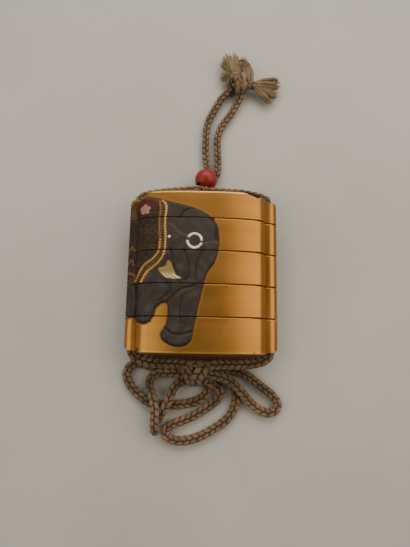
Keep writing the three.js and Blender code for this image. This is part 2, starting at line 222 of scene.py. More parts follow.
def make_light():
    make_lamp("left lamp", (-0.55, -0.05, 0.5), (0.5, 0.7), 3.2, (0.97, 1.0, 0.9))
    make_lamp("right lamp", (0.5, 0.1, 0.5), (0.45, 0.7), 3.8, (1.0, 0.9, 0.8))
    make_lamp("far lamp", (0.05, 0.62, 0.5), (0.9, 0.4), 8.6, (0.96, 0.98, 1.0))
    world = bpy.data.worlds.new("surround")
    world.use_nodes = True
    background = world.node_tree.nodes["Background"]
    background.inputs["Color"].default_value = (0.93, 0.95, 1.0, 1.0)
    background.inputs["Strength"].default_value = 0.2
    bpy.context.scene.world = world


make_table()
make_light()
print("lamps:", [lamp.name for lamp in bpy.data.lights])

# %% [markdown]
# ## The cord's route
#
# The cord is limp braided silk, about four millimetres across. Each stretch below is the
# same line of points that the model's plain tubes follow, in metres: it leaves a channel,
# rests on the lid's end, dips through the bead and lies on the table; or it goes from a
# channel to the bow knot and out into one of the bow's loops.
#
# A smooth curve through few points is easier to correct than many close ones, so the
# curve is worked out here, with a spacing of points that cannot overshoot at the bends.

# %% Cord measures and routes
CHANNEL_Z = 0.0116
FLAT_Z = 0.00205

LID_CORNER = [
    (0.0303, 0.0315, CHANNEL_Z), (0.0303, 0.0339, CHANNEL_Z), (0.0298, 0.0355, 0.0113),
    (0.0281, 0.0369, 0.0109), (0.0254, 0.038, 0.0103), (0.022, 0.039, 0.0096), (0.018, 0.0399, 0.009),
]
BASE_CORNER = [
    (0.0303, -0.0302, CHANNEL_Z), (0.0303, -0.0351, CHANNEL_Z), (0.0298, -0.0366, 0.0113),
    (0.0282, -0.0381, 0.0107), (0.0256, -0.0391, 0.0099), (0.022, -0.0399, 0.0092), (0.0165, -0.0402, 0.0085),
]


def on_the_left(points):
    return [(-x, y, z) for x, y, z in points]


LID_LEFT = on_the_left(LID_CORNER) + [
    (-0.012, 0.0406, 0.0086), (-0.007, 0.0414, 0.0082), (-0.0034, 0.0422, 0.0078),
]
LID_RIGHT = LID_CORNER + [(0.012, 0.0403, 0.0087), (0.006, 0.0407, 0.0085), (0.0026, 0.0411, 0.0083)]
BEAD_LEFT = [(-0.0019, 0.0433, 0.0074), (0.0002, 0.0479, 0.0055), (0.0024, 0.0512, 0.0038)]
BEAD_RIGHT = [(-0.0004, 0.0432, 0.0077), (0.0018, 0.0474, 0.0055), (0.0044, 0.0502, 0.0034)]
UPPER_LEFT = [
    (0.0017, 0.0542, 0.0029), (0.0012, 0.0579, 0.0021), (0.0006, 0.0621, FLAT_Z), (0.0004, 0.0675, FLAT_Z),
    (0.0005, 0.0729, FLAT_Z), (0.0009, 0.0773, FLAT_Z), (0.0018, 0.0812, FLAT_Z), (0.0039, 0.0858, FLAT_Z),
    (0.0059, 0.0897, FLAT_Z), (0.0081, 0.0935, 0.0021), (0.0108, 0.0966, 0.0024), (0.0132, 0.0989, 0.0034),
]
UPPER_RIGHT = [
    (0.0064, 0.0523, 0.0024), (0.0067, 0.057, FLAT_Z), (0.0066, 0.0623, FLAT_Z), (0.0063, 0.0676, FLAT_Z),
    (0.0064, 0.0718, FLAT_Z), (0.0075, 0.0764, FLAT_Z), (0.0095, 0.0802, FLAT_Z), (0.012, 0.0837, FLAT_Z),
    (0.0142, 0.0873, FLAT_Z), (0.0162, 0.0912, FLAT_Z), (0.0177, 0.0949, 0.0023), (0.0185, 0.0982, 0.0034),
]
STRAND_LEFT = LID_LEFT + BEAD_LEFT + UPPER_LEFT
STRAND_RIGHT = LID_RIGHT + BEAD_RIGHT + UPPER_RIGHT
LOWER_LEFT = on_the_left(BASE_CORNER) + [
    (-0.0105, -0.0403, 0.0088), (-0.0062, -0.0408, 0.0098), (-0.0035, -0.0412, 0.0092),
]
LOWER_RIGHT = BASE_CORNER + [(0.01, -0.0403, 0.0086), (0.0041, -0.0408, 0.0096), (0.0012, -0.0412, 0.009)]
LOOPS = {
    "loop_left": [
        (-0.0045, -0.0436, 0.0033), (-0.0076, -0.0436, 0.0025), (-0.013, -0.0435, FLAT_Z),
        (-0.0185, -0.043, FLAT_Z), (-0.024, -0.0419, FLAT_Z), (-0.0286, -0.0408, FLAT_Z),
        (-0.0322, -0.042, FLAT_Z), (-0.0339, -0.0453, FLAT_Z), (-0.0327, -0.0492, FLAT_Z),
        (-0.0303, -0.0524, FLAT_Z), (-0.027, -0.0554, FLAT_Z), (-0.023, -0.0581, FLAT_Z),
        (-0.018, -0.0592, FLAT_Z), (-0.012, -0.0588, FLAT_Z), (-0.0062, -0.0584, FLAT_Z),
        (-0.0012, -0.057, FLAT_Z), (0.0025, -0.0543, FLAT_Z), (0.0034, -0.051, 0.0021),
        (0.0022, -0.0489, 0.0026), (0.0008, -0.0472, 0.0036),
    ],
    "loop_narrow": [
        (-0.0045, -0.0446, 0.0074), (-0.0076, -0.0446, 0.0072), (-0.011, -0.0446, 0.0068),
        (-0.015, -0.0447, 0.0064), (-0.019, -0.045, 0.0052), (-0.0222, -0.0468, 0.0035),
        (-0.0231, -0.0499, 0.0031), (-0.022, -0.0531, 0.0045), (-0.0207, -0.0562, 0.0066),
        (-0.02, -0.0594, 0.0074), (-0.0198, -0.0626, 0.0074), (-0.0198, -0.066, 0.0069),
        (-0.0198, -0.0689, 0.0059), (-0.0197, -0.0702, 0.0039), (-0.0193, -0.0688, 0.0021),
        (-0.0188, -0.066, FLAT_Z), (-0.0177, -0.0634, 0.0037), (-0.0158, -0.0607, 0.0062),
        (-0.0144, -0.0577, 0.0067), (-0.0132, -0.0546, 0.006), (-0.0117, -0.0512, 0.0046),
        (-0.0086, -0.0483, 0.0039), (-0.005, -0.0464, 0.0045),
    ],
    "loop_bottom": [
        (0.0022, -0.0458, 0.003), (0.0049, -0.0462, 0.0024), (0.0086, -0.0463, FLAT_Z),
        (0.0123, -0.0477, FLAT_Z), (0.0152, -0.0509, FLAT_Z), (0.0165, -0.055, FLAT_Z),
        (0.0159, -0.0592, FLAT_Z), (0.014, -0.0629, FLAT_Z), (0.0109, -0.0661, FLAT_Z),
        (0.007, -0.0688, FLAT_Z), (0.0026, -0.0713, FLAT_Z), (-0.0019, -0.0733, FLAT_Z),
        (-0.0068, -0.0744, FLAT_Z), (-0.0116, -0.0741, FLAT_Z), (-0.0146, -0.0724, FLAT_Z),
        (-0.0148, -0.0697, FLAT_Z), (-0.0126, -0.0677, FLAT_Z), (-0.0088, -0.0662, FLAT_Z),
        (-0.0036, -0.064, FLAT_Z), (0.001, -0.0614, FLAT_Z), (0.0052, -0.0586, FLAT_Z),
        (0.0084, -0.0556, FLAT_Z), (0.0093, -0.0522, FLAT_Z), (0.0068, -0.05, 0.0028),
        (0.0044, -0.0484, 0.0062), (0.0018, -0.0468, 0.0068),
    ],
    "loop_right": [
        (0.002, -0.0432, 0.0056), (0.005, -0.0429, 0.0054), (0.0085, -0.0428, 0.005),
        (0.0125, -0.0429, 0.0042), (0.017, -0.0435, 0.0031), (0.0213, -0.0452, 0.0023),
        (0.0253, -0.048, FLAT_Z), (0.0292, -0.051, FLAT_Z), (0.033, -0.0539, FLAT_Z),
        (0.0354, -0.0572, FLAT_Z), (0.0346, -0.0604, FLAT_Z), (0.0314, -0.0618, FLAT_Z),
        (0.0274, -0.0606, FLAT_Z), (0.0236, -0.0578, 0.0027), (0.0205, -0.0544, 0.0044),
        (0.0176, -0.0512, 0.006), (0.0143, -0.0482, 0.0068), (0.0102, -0.0462, 0.0074),
        (0.0054, -0.0452, 0.008), (0.0024, -0.0446, 0.008),
    ],
}


def smooth_curve(points, per_span=16):
    """A centripetal Catmull-Rom curve through the points."""
    given = np.array(points, float)
    line = np.vstack([2 * given[0] - given[1], given, 2 * given[-1] - given[-2]])
    pieces = []
    for a, b, c, d in zip(line, line[1:], line[2:], line[3:]):
        ta = 0.0
        tb = ta + np.linalg.norm(b - a) ** 0.5
        tc = tb + np.linalg.norm(c - b) ** 0.5
        td = tc + np.linalg.norm(d - c) ** 0.5
        t = np.linspace(tb, tc, per_span, endpoint=False)[:, None]
        ab = (tb - t) / (tb - ta) * a + (t - ta) / (tb - ta) * b
        bc = (tc - t) / (tc - tb) * b + (t - tb) / (tc - tb) * c
        cd = (td - t) / (td - tc) * c + (t - tc) / (td - tc) * d
        abc = (tc - t) / (tc - ta) * ab + (t - ta) / (tc - ta) * bc
        bcd = (td - t) / (td - tb) * bc + (t - tb) / (td - tb) * cd
        pieces.append((tc - t) / (tc - tb) * abc + (t - tb) / (tc - tb) * bcd)
    pieces.append(given[-1:])
    return np.vstack(pieces)


def distances_along(line):
    return np.concatenate([[0.0], np.cumsum(np.linalg.norm(np.diff(line, axis=0), axis=1))])


def even_steps(line, step):
    along = distances_along(line)
    wanted = np.linspace(0, along[-1], max(2, round(along[-1] / step) + 1))
    axes = range(line.shape[1])
    return np.stack([np.interp(wanted, along, line[:, axis]) for axis in axes], 1), wanted


for name, route in LOOPS.items():
    print(name, "length in mm:", round(distances_along(smooth_curve(route))[-1] / MM, 1))

# %% [markdown]
# ## Braiding the cord
#
# A braid of four plaits shows two columns of slanted lumps from any side, like an ear of
# wheat. The lumps could be separate little shapes, but then the cord would be hundreds of
# loose shells. Here each cord is one closed tube: a flat grid is rolled round the route
# and pushed in and out by a formula that knows each lump's place, so the grooves are real
# and the silk catches light as lumps do.
#
# Each point also remembers how deep it lies in a groove, which lump it belongs to and
# where it is across the lump. The silk's material reads these later.

# %% Braid
BRAID_PITCH = 3.0 * MM
BRAID_STEP = 0.2 * MM
BRAID_SIDES = 32
BRAID_COLUMNS = 4
BRAID_SLANT = 0.3
BRAID_DEPTH = 0.4


def braid_surface(route, width, thickness, narrowing=None):
    """The points of a braided tube, ring by ring, and what each point knows."""
    line, along = even_steps(smooth_curve(route), BRAID_STEP)
    forward = np.gradient(line, axis=0)
    forward /= np.linalg.norm(forward, axis=1)[:, None]
    across = np.cross(forward, (0.0, 0.0, 1.0))
    across /= np.linalg.norm(across, axis=1)[:, None]
    upward = np.cross(across, forward)
    angle = np.linspace(0, 2 * math.pi, BRAID_SIDES, endpoint=False)
    share = angle / (2 * math.pi) * BRAID_COLUMNS
    column = np.floor(share).astype(int)
    sideways = 2 * (share - column) - 1
    lean = np.where(column % 2 == 0, 1.0, -1.0)
    turn = along[:, None] / BRAID_PITCH + 0.5 * (column % 2) + BRAID_SLANT * lean * sideways
    phase = 2 * (turn - np.floor(turn)) - 1
    lump = np.clip(1 - np.abs(phase) ** 2.2, 0, 1) ** 0.6 * (1 - 0.75 * np.abs(sideways) ** 2.6)
    radius = 1 - BRAID_DEPTH * (1 - lump)
    if narrowing is not None:
        radius = radius * narrowing(line)[:, None]
    out = across[:, None] * (np.cos(angle) * radius * width / 2)[..., None]
    up = upward[:, None] * (np.sin(angle) * radius * thickness / 2)[..., None]
    tone = np.sin(np.floor(turn) * 12.9898 + column * 78.233) * 43758.5453
    facts = {"groove": 1 - lump, "tone": tone - np.floor(tone), "thread": turn}
    return line, line[:, None] + out + up, facts


def roll_braid(mesh, route, width, thickness, narrowing=None):
    """Adds one braided tube to a bmesh and returns its centreline."""
    line, rings, facts = braid_surface(route, width, thickness, narrowing)
    layers = {name: mesh.verts.layers.float.get(name) or mesh.verts.layers.float.new(name) for name in facts}
    made = bmesh.ops.create_grid(mesh, x_segments=BRAID_SIDES, y_segments=len(line) - 1, size=1)["verts"]
    mesh.verts.ensure_lookup_table()
    columns = BRAID_SIDES + 1
    for index, vertex in enumerate(made):
        ring, side = index // columns, index % columns % BRAID_SIDES
        vertex.co = rings[ring, side]
        for name, values in facts.items():
            vertex[layers[name]] = values[ring, side]
    bmesh.ops.remove_doubles(mesh, verts=made, dist=1e-7)
    bmesh.ops.holes_fill(mesh, edges=[edge for edge in mesh.edges if edge.is_boundary])
    return line


def finish_piece(mesh, name, material, smooth=True):
    bmesh.ops.recalc_face_normals(mesh, faces=mesh.faces)
    for face in mesh.faces:
        face.smooth = smooth
    data = bpy.data.meshes.new(name)
    mesh.to_mesh(data)
    mesh.free()
    data.materials.append(material)
    piece = bpy.data.objects.new(name, data)
    bpy.context.scene.collection.objects.link(piece)
    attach(piece, "root")
    return piece


# %% [markdown]
# ## Silk
#
# The silk has faded unevenly: some lumps are pinkish tan, some olive, and the grooves
# between the lumps are painted dark brown as shade. All of that could come from a noise,
# but then the colours would cut across the lumps. Reading the braid's own attributes keeps
# each colour on its lump, and the fine threads run along it.

# %% Silk material
def make_silk():
    constants = {"Roughness": 0.82, "Specular_IOR_Level": 0.25, "Sheen_Weight": 0.25, "Sheen_Roughness": 0.4}
    material, tree, shader = new_material("braided silk", **constants)
    groove, tone, thread = (remembered(tree, name) for name in ("groove", "tone", "thread"))
    clouds, grain = mottle(tree, 120.0)
    lump_colour = mix_colour(tree, tone, linear(118, 100, 62), linear(138, 100, 74))
    lump_colour = mix_colour(tree, clouds, lump_colour, linear(82, 64, 36))
    lines = calculate(tree, "SINE", calculate(tree, "MULTIPLY", thread, 2 * math.pi * 8))
    lines = spread(tree, lines, -1.0, 1.0)
    lump_colour = mix_colour(tree, calculate(tree, "MULTIPLY", lines, 0.35), lump_colour, linear(66, 42, 24))
    # Painted shade: the deeper a point lies in a groove, the more it is darkened to near black-brown.
    depth = spread(tree, groove, 0.27, 0.8)
    colour = mix_colour(tree, depth, lump_colour, linear(27, 11, 4))
    finish_surface(tree, shader, colour, calculate(tree, "ADD", lines, grain), 0.6, 0.12 * MM)
    return material


SILK = make_silk()

# %% [markdown]
# ## Laying the cords
#
# The two upper strands pass through the bead side by side, so both are squeezed there to
# less than half their width, as silk is in a tight hole. The two lower strands are drawn
# tight along the end of the stack, which presses them flat. Elsewhere the loops are a
# little flattened and the upper strands are rounder.

# %% Cords
LOOP_SECTION = (4.7 * MM, 3.85 * MM)
STRAND_SECTION = (4.2 * MM, 3.85 * MM)
PRESSED_SECTION = (5.3 * MM, 3.85 * MM)
BEAD_CENTRE = np.array((0.0009, 0.0477, 0.0055))
SQUEEZED = 0.47
SQUEEZE_NEAR = 4.6 * MM
SQUEEZE_FAR = 8.5 * MM


def squeezed_by_bead(line):
    distance = np.linalg.norm(line - BEAD_CENTRE, axis=1)
    share = np.clip((distance - SQUEEZE_NEAR) / (SQUEEZE_FAR - SQUEEZE_NEAR), 0, 1)
    return SQUEEZED + (1 - SQUEEZED) * share * share * (3 - 2 * share)


def make_cord(name, route, section, narrowing=None):
    mesh = bmesh.new()
    line = roll_braid(mesh, route, *section, narrowing)
    piece = finish_piece(mesh, name, SILK)
    return piece, line


cords = {
    "strand_left": make_cord("strand_left", STRAND_LEFT, STRAND_SECTION, squeezed_by_bead),
    "strand_right": make_cord("strand_right", STRAND_RIGHT, STRAND_SECTION, squeezed_by_bead),
    "strand_lower_left": make_cord("strand_lower_left", LOWER_LEFT, PRESSED_SECTION),
    "strand_lower_right": make_cord("strand_lower_right", LOWER_RIGHT, PRESSED_SECTION),
}
for name, route in LOOPS.items():
    cords[name] = make_cord(name, route, LOOP_SECTION)

CORD_NODES = {
    "strand_left": ("cord_lid_left", "cord_upper_left"),
    "strand_right": ("cord_lid_right", "cord_upper_right"),
    "strand_lower_left": ("cord_lower_left",),
    "strand_lower_right": ("cord_lower_right",),
    "loop_left": ("cord_loop_left",),
    "loop_narrow": ("cord_loop_narrow",),
    "loop_bottom": ("cord_loop_bottom",),
    "loop_right": ("cord_loop_right",),
}
for name, nodes in CORD_NODES.items():
    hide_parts(*nodes)
    length = distances_along(cords[name][1])[-1]
    print(name, "length in mm:", round(length / MM, 1), "faces:", len(cords[name][0].data.polygons))

# %% [markdown]
# ## The two knots
#
# Below the case the cord is tied in a bow; at its far end the two strands are tied
# together. Seen close, a knot is the same cord, wrapped tightly over itself. Simulating
# the tying would be slow and hard to steer, so each knot is a few short braids laid over
# a fat core: the core fills the middle, and the wraps carry the look.

# %% Knots
def make_knot(name, core, core_section, wraps):
    mesh = bmesh.new()
    roll_braid(mesh, core, *core_section)
    for wide, thick, wrap in wraps:
        roll_braid(mesh, wrap, wide * MM, thick * MM)
    piece = finish_piece(mesh, name, SILK)
    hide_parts(name.replace("_braid", ""))
    return piece


bow_knot = make_knot(
    "bow_knot_braid",
    [(-0.0058, -0.0442, 0.0052), (-0.0013, -0.0442, 0.0054), (0.0032, -0.0442, 0.0052)],
    (7.6 * MM, 7.6 * MM),
    [
        (3.9, 3.4, [(-0.0092, -0.0404, 0.0086), (-0.0048, -0.0403, 0.0096), (-0.0008, -0.0402, 0.0098),
                    (0.0034, -0.0403, 0.0096), (0.0074, -0.0404, 0.0086)]),
        (6.6, 3.2, [(0.0032, -0.0404, 0.0036), (0.0028, -0.0402, 0.0082), (0.0012, -0.0422, 0.0109),
                    (-0.0008, -0.0452, 0.0106), (-0.002, -0.0482, 0.0076), (-0.002, -0.0494, 0.0034)]),
        (4.6, 3.2, [(-0.0078, -0.0408, 0.0036), (-0.0076, -0.0408, 0.0078), (-0.0067, -0.0426, 0.0103),
                    (-0.0053, -0.0454, 0.0097), (-0.0043, -0.0482, 0.0068), (-0.0041, -0.0492, 0.0034)]),
        (3.9, 3.0, [(0.0052, -0.0432, 0.003), (0.0052, -0.0438, 0.006), (0.0038, -0.0456, 0.0082),
                    (0.0018, -0.0476, 0.0078), (0.0008, -0.0484, 0.0052), (0.0008, -0.0484, 0.003)]),
    ],
)
top_knot = make_knot(
    "top_knot_braid",
    [(0.013, 0.0996, 0.0041), (0.017, 0.1003, 0.0042), (0.021, 0.1008, 0.004)],
    (6.6 * MM, 6.4 * MM),
    [
        (4.4, 2.8, [(0.0136, 0.1034, 0.0026), (0.0137, 0.1035, 0.0056), (0.0152, 0.1022, 0.0079),
                    (0.0162, 0.0995, 0.008), (0.0172, 0.0966, 0.006), (0.0174, 0.096, 0.003)]),
        (3.8, 2.8, [(0.0188, 0.1038, 0.0026), (0.0194, 0.1034, 0.0056), (0.0202, 0.1012, 0.0074),
                    (0.02, 0.099, 0.0066), (0.0194, 0.0972, 0.003)]),
        (3.6, 2.8, [(0.0124, 0.0986, 0.0026), (0.0122, 0.1008, 0.0052), (0.014, 0.1034, 0.0062),
                    (0.0176, 0.1041, 0.006), (0.0208, 0.1028, 0.0048), (0.0218, 0.1008, 0.003)]),
    ],
)
print("knots:", bow_knot.name, top_knot.name)

# %% [markdown]
# ## Frayed ends
#
# Past the last knot the two ends of the cord have come undone into brushes of thread.
# Hair particles would vanish on export, so each thread is a thin curve with a round
# section, bent along a guide with a little seeded chance, and then made a mesh. The right
# end is still braided for a few millimetres before it opens out.

# %% Frayed ends
THREAD_RADIUS = 0.17 * MM


def make_loose_silk():
    constants = {"Roughness": 0.7, "Specular_IOR_Level": 0.3, "Sheen_Weight": 0.3, "Sheen_Roughness": 0.35}
    material, tree, shader = new_material("loose silk", **constants)
    clouds, grain = mottle(tree, 150.0)
    colour = mix_colour(tree, remembered(tree, "tone"), linear(128, 116, 68), linear(152, 112, 80))
    colour = mix_colour(tree, calculate(tree, "MULTIPLY", clouds, 0.5), colour, linear(72, 50, 28))
    finish_surface(tree, shader, colour, grain, 0.4, 0.05 * MM)
    return material


LOOSE_SILK = make_loose_silk()


def make_tuft(name, locks, seed):
    chance = np.random.default_rng(seed)
    curve = bpy.data.curves.new(name, "CURVE")
    curve.dimensions = "3D"
    curve.bevel_depth = THREAD_RADIUS
    curve.bevel_resolution = 0
    curve.use_fill_caps = True
    tones = []
    for guide, root_spread, tip_spread, count, tone in locks:
        line = smooth_curve(guide, 4)
        share = np.linspace(0, 1, len(line))[:, None]
        for _ in range(count):
            side = chance.normal(size=3) * (1, 1, 0.6)
            side /= max(1.0, np.linalg.norm(side))
            wander = np.cumsum(chance.normal(size=line.shape) * 0.08 * MM, axis=0) * share
            spread_here = root_spread + (tip_spread - root_spread) * share ** 1.3
            points = line + side * spread_here + wander
            points[:, 2] = np.maximum(points[:, 2], THREAD_RADIUS + 0.15 * MM)
            kept = max(4, round(len(points) * chance.uniform(0.84, 1.0)))
            spline = curve.splines.new("POLY")
            spline.points.add(kept - 1)
            for point, place in zip(spline.points, points[:kept]):
                point.co = (*place, 1)
            for back, size in ((1, 0.35), (2, 0.75)):
                spline.points[-back].radius = size
            tones.append(np.clip(tone + chance.normal() * 0.22, 0, 1))
    holder = bpy.data.objects.new(name, curve)
    data = bpy.data.meshes.new_from_object(holder)
    bpy.data.objects.remove(holder)
    bpy.data.curves.remove(curve)
    mesh = bmesh.new()
    mesh.from_mesh(data)
    bpy.data.meshes.remove(data)
    bmesh.ops.remove_doubles(mesh, verts=mesh.verts, dist=1e-8)
    layer = mesh.verts.layers.float.new("tone")
    paint_threads(mesh, layer, tones)
    mesh.verts.layers.float.new("groove")
    piece = finish_piece(mesh, name, LOOSE_SILK)
    return piece


def paint_threads(mesh, layer, tones):
    """Gives all points of one thread that thread's tone, thread by thread."""
    seen = set()
    order = iter(tones)
    for start in mesh.verts:
        if start in seen:
            continue
        tone = next(order, 0.5)
        waiting = [start]
        seen.add(start)
        while waiting:
            vertex = waiting.pop()
            vertex[layer] = tone
            for edge in vertex.link_edges:
                other = edge.other_vert(vertex)
                if other not in seen:
                    seen.add(other)
                    waiting.append(other)


def lock(points, root_spread, tip_spread, count, tone):
    guide = [[value * MM for value in point] for point in points]
    return guide, root_spread * MM, tip_spread * MM, count, tone


tuft_upper = make_tuft("tuft_upper_threads", [
    lock([(21.6, 99, 4.6), (22.6, 103, 5.4), (21.8, 107.6, 6), (18.6, 110.4, 6.2), (14.6, 109.6, 5.6)],
         1.5, 2.3, 130, 0.85),
    lock([(19.6, 101, 5), (20.6, 105, 6), (19.6, 108.6, 6), (18.4, 114.6, 4)], 1.5, 2.2, 100, 0.75),
    lock([(15, 104.6, 5.4), (13.6, 108, 6), (11.8, 112, 5.4), (10.4, 115.6, 3.6)], 1.6, 2.8, 130, 0.25),
    lock([(14.6, 105.6, 5), (12, 107.6, 5.4), (10, 110, 4.6), (8.6, 112.6, 3)], 1.5, 1.8, 80, 0.1),
    lock([(15, 104.6, 4.4), (12, 105.6, 4.8), (9.8, 105, 4), (8.2, 104, 2.6)], 1.3, 1.5, 70, 0.3),
    lock([(16.4, 105, 5.4), (15.8, 109, 6), (14.8, 113, 5), (14, 117, 3.4)], 1.6, 2.2, 110, 0.5),
    lock([(14.6, 104.4, 6.8), (15.8, 101, 8.3), (16.2, 97.8, 7.4), (15.8, 95.6, 5.4)], 1.0, 0.8, 70, 0.05),
    lock([(18.6, 104.4, 6.6), (19.4, 101, 8), (19.2, 97.8, 6.6), (18.4, 96.2, 5)], 0.9, 0.8, 60, 0.9),
], seed=3)
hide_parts("tuft_upper")

tuft_right = make_tuft("tuft_right_threads", [
    lock([(25.4, 100.6, 4), (28.6, 102, 4.3), (33, 103.2, 3.8), (37.2, 103.8, 3)], 1.5, 1.3, 110, 0.1),
    lock([(25.4, 99.8, 4.6), (29, 100, 5), (33, 100, 4.2), (37, 100.4, 3)], 1.6, 1.7, 110, 0.6),
    lock([(25.4, 99, 4), (27.6, 96.6, 4.3), (30.4, 94, 3.6), (32.8, 91.6, 2.6)], 1.5, 1.3, 100, 0.15),
    lock([(25.4, 99.2, 4.3), (28.6, 98, 4.8), (32.2, 96.4, 4), (35.6, 95.2, 3)], 1.6, 1.8, 110, 0.35),
], seed=5)
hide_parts("tuft_right")
STUB_ROUTE = [(0.0205, 0.1, 0.0042), (0.0238, 0.0998, 0.0046), (0.0278, 0.0993, 0.0048)]
STUB_SECTION = (4.9 * MM, 4.0 * MM)
stub, _ = make_cord("tuft_right_stub", STUB_ROUTE, STUB_SECTION)
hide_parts("tuft_right")
print("threads' faces:", len(tuft_upper.data.polygons), len(tuft_right.data.polygons))

# %% [markdown]
# ## The bead
#
# The bead is a ball of polished coral with a hole right through, and the cord's two
# strands fill that hole. Its half profile is drawn as an arc and spun round the hole's
# axis, which leaves the hole open and its lips true.

# %% Bead
BEAD_RADIUS = 5.4 * MM
BEAD_HOLE_RADIUS = 1.9 * MM
BEAD_AXIS = Vector((0.55, 0.75, -0.35)).normalized()


def make_coral():
    material, tree, shader = new_material("coral", Specular_IOR_Level=0.22)
    clouds, grain = mottle(tree, 130.0)
    colour = mix_colour(tree, clouds, linear(104, 22, 12), linear(130, 36, 20))
    colour = mix_colour(tree, spread(tree, grain, 0.75, 1.0, 0.0, 0.5), colour, linear(120, 22, 14))
    tree.links.new(spread(tree, clouds, 0.0, 1.0, 0.3, 0.48), shader.inputs["Roughness"])
    finish_surface(tree, shader, colour, grain, 0.25, 0.1 * MM)
    return material


def make_bead():
    mesh = bmesh.new()
    start = math.asin(BEAD_HOLE_RADIUS / BEAD_RADIUS)
    steps = 40
    profile = []
    for step in range(steps + 1):
        angle = start + (math.pi - 2 * start) * step / steps
        place = (BEAD_RADIUS * math.sin(angle), -BEAD_RADIUS * math.cos(angle), 0)
        profile.append(mesh.verts.new(place))
    edges = [mesh.edges.new(pair) for pair in zip(profile, profile[1:])]
    edges.append(mesh.edges.new((profile[-1], profile[0])))
    bmesh.ops.spin(mesh, geom=profile + edges, cent=(0, 0, 0), axis=(0, 1, 0), angle=2 * math.pi, steps=64,
                   use_merge=True)
    bmesh.ops.remove_doubles(mesh, verts=mesh.verts, dist=1e-7)
    lips = [edge for edge in mesh.edges if edge.calc_face_angle(0) > 0.6]
    bmesh.ops.bevel(mesh, geom=lips, offset=0.25 * MM, segments=3, profile=0.5, affect="EDGES", material=-1)
    turn = Vector((0, 1, 0)).rotation_difference(BEAD_AXIS).to_matrix().to_4x4()
    bmesh.ops.transform(mesh, matrix=Matrix.Translation(BEAD_CENTRE) @ turn, verts=mesh.verts)
    piece = finish_piece(mesh, "coral_bead", make_coral())
    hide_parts("bead")
    return piece


coral_bead = make_bead()
print("bead across, mm:", round(max(coral_bead.dimensions) / MM, 2))

# %% [markdown]


# %% [markdown]
# ## Silk in the channels
#
# Inside the ribs only a ring of cord shows at each mouth. The model's own plain cylinders
# are enough there, so they stay and only take on the silk.

# %% Channels
for side in ("left", "right"):
    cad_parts["cord_channel_" + side].data.materials.clear()
    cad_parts["cord_channel_" + side].data.materials.append(SILK)

# %% [markdown]
# ## The stack's cross-section
#
# A real inro is built up on a wooden or leather core, all of its cases turned from one
# long tube, so that they share one cross-section: a shallow crown, round shoulders, a
# groove, and a rib on each side that holds the cord's channel.
#
# One quarter of that section is drawn here as a crown, a shoulder and a rib, each with
# its own even count of points. The plain oblong inside the walls has the same three
# parts, so the two can be joined point by point. Every outer point also carries the
# direction in which the relief lifts it.

# %% Cross-section
MID_Z = 11.6
HALF_THICK = 11.0
RIM_Y = 35.2
DOME_RISE = 3.0
CROWN_HALF = 22.5
CROWN_CURVE = 0.006
CROWN_FLAT = 6.0
SIDE_X = 28.1
RIB_X = 30.3
RIB_RADIUS = 3.7
RECESS_INSET = 1.1
RISER_INSET = 1.4
HOLLOW_INSET = 2.5
FRONT_COUNTS = (90, 34, 30)
BACK_COUNTS = (44, 18, 16)


def evenly(points, count):
    """The same line with an even count of points."""
    line = np.array(points, float)
    along = distances_along(line[:, :2])
    wanted = np.linspace(0, along[-1], count)
    return np.stack([np.interp(wanted, along, column) for column in line.T], 1)


def bent(start, pull, end, steps=24):
    share = np.linspace(0, 1, steps)[:, None]
    start, pull, end = (np.array(point, float) for point in (start, pull, end))
    return (1 - share) ** 2 * start + 2 * share * (1 - share) * pull + share ** 2 * end


def crown_height(x, middle):
    return middle - CROWN_CURVE * max(0, x - CROWN_FLAT) ** 2


def outer_parts():
    """Crown, shoulder and rib as rows of x, height and lift direction, in millimetres."""
    crown = [(x, crown_height(x, HALF_THICK), 0, 1) for x in np.linspace(0, CROWN_HALF, 40)]
    shoulder = bent(crown[-1], (27.8, 8.4, 1, 1), (28.6, 3.2, 0.8, 0.9))
    rib = []
    for degrees in np.linspace(105, 0, 30):
        fade = min(max((degrees - 70) / 35, 0), 1)
        turn = math.radians(degrees)
        place = (RIB_X + RIB_RADIUS * math.cos(turn), RIB_RADIUS * math.sin(turn))
        rib.append((*place, 0.8 * fade, 0.9 * fade))
    return crown, shoulder, rib


def inner_parts(inset):
    """The plain oblong inside a wall, set in from the skin, in the same three parts."""
    side, edge = SIDE_X - inset, CROWN_HALF - 1 - 0.6 * inset
    crown = [(x, crown_height(x, HALF_THICK - inset), 0, 0) for x in np.linspace(0, edge, 40)]
    shoulder = bent(crown[-1], (side, crown[-1][1] - 0.6, 0, 0), (side, 3.2, 0, 0))
    return crown, [*shoulder, (side, 2.5, 0, 0)], [(side, 2.3, 0, 0), (side, 0, 0, 0)]


def whole_section(parts):
    """Joins four quarters into a closed section, finer on the front than on the back."""
    quarters = []
    for counts in (FRONT_COUNTS, BACK_COUNTS):
        crown, shoulder, rib = (evenly(part, count + 1) for part, count in zip(parts, counts))
        quarters.append(np.vstack([crown[:-1], shoulder[:-1], rib]))
    front, back = quarters
    left, down = np.array((-1, 1, -1, 1)), np.array((1, -1, 1, -1))
    return np.vstack([front, back[-2::-1] * down, back[1:] * left * down, front[-2:0:-1] * left])


OUTER = whole_section(outer_parts())
RECESS, RISER, HOLLOW = (
    whole_section(inner_parts(inset)) for inset in (RECESS_INSET, RISER_INSET, HOLLOW_INSET)
)
print("points round the section:", len(OUTER), len(HOLLOW))

# %% [markdown]
# ## From rings to boxes
#
# Each case is one closed skin: up the outside, over the riser that fits the case above,
# down inside to the floor, and, from below, up into the recess that takes the riser of
# the case beneath. Written as a list of rings, that is a single tube, so every case is
# rolled from one grid just as the cord is, and its two last openings are filled. The
# same list says which rings belong to the lacquered skin and may carry relief.

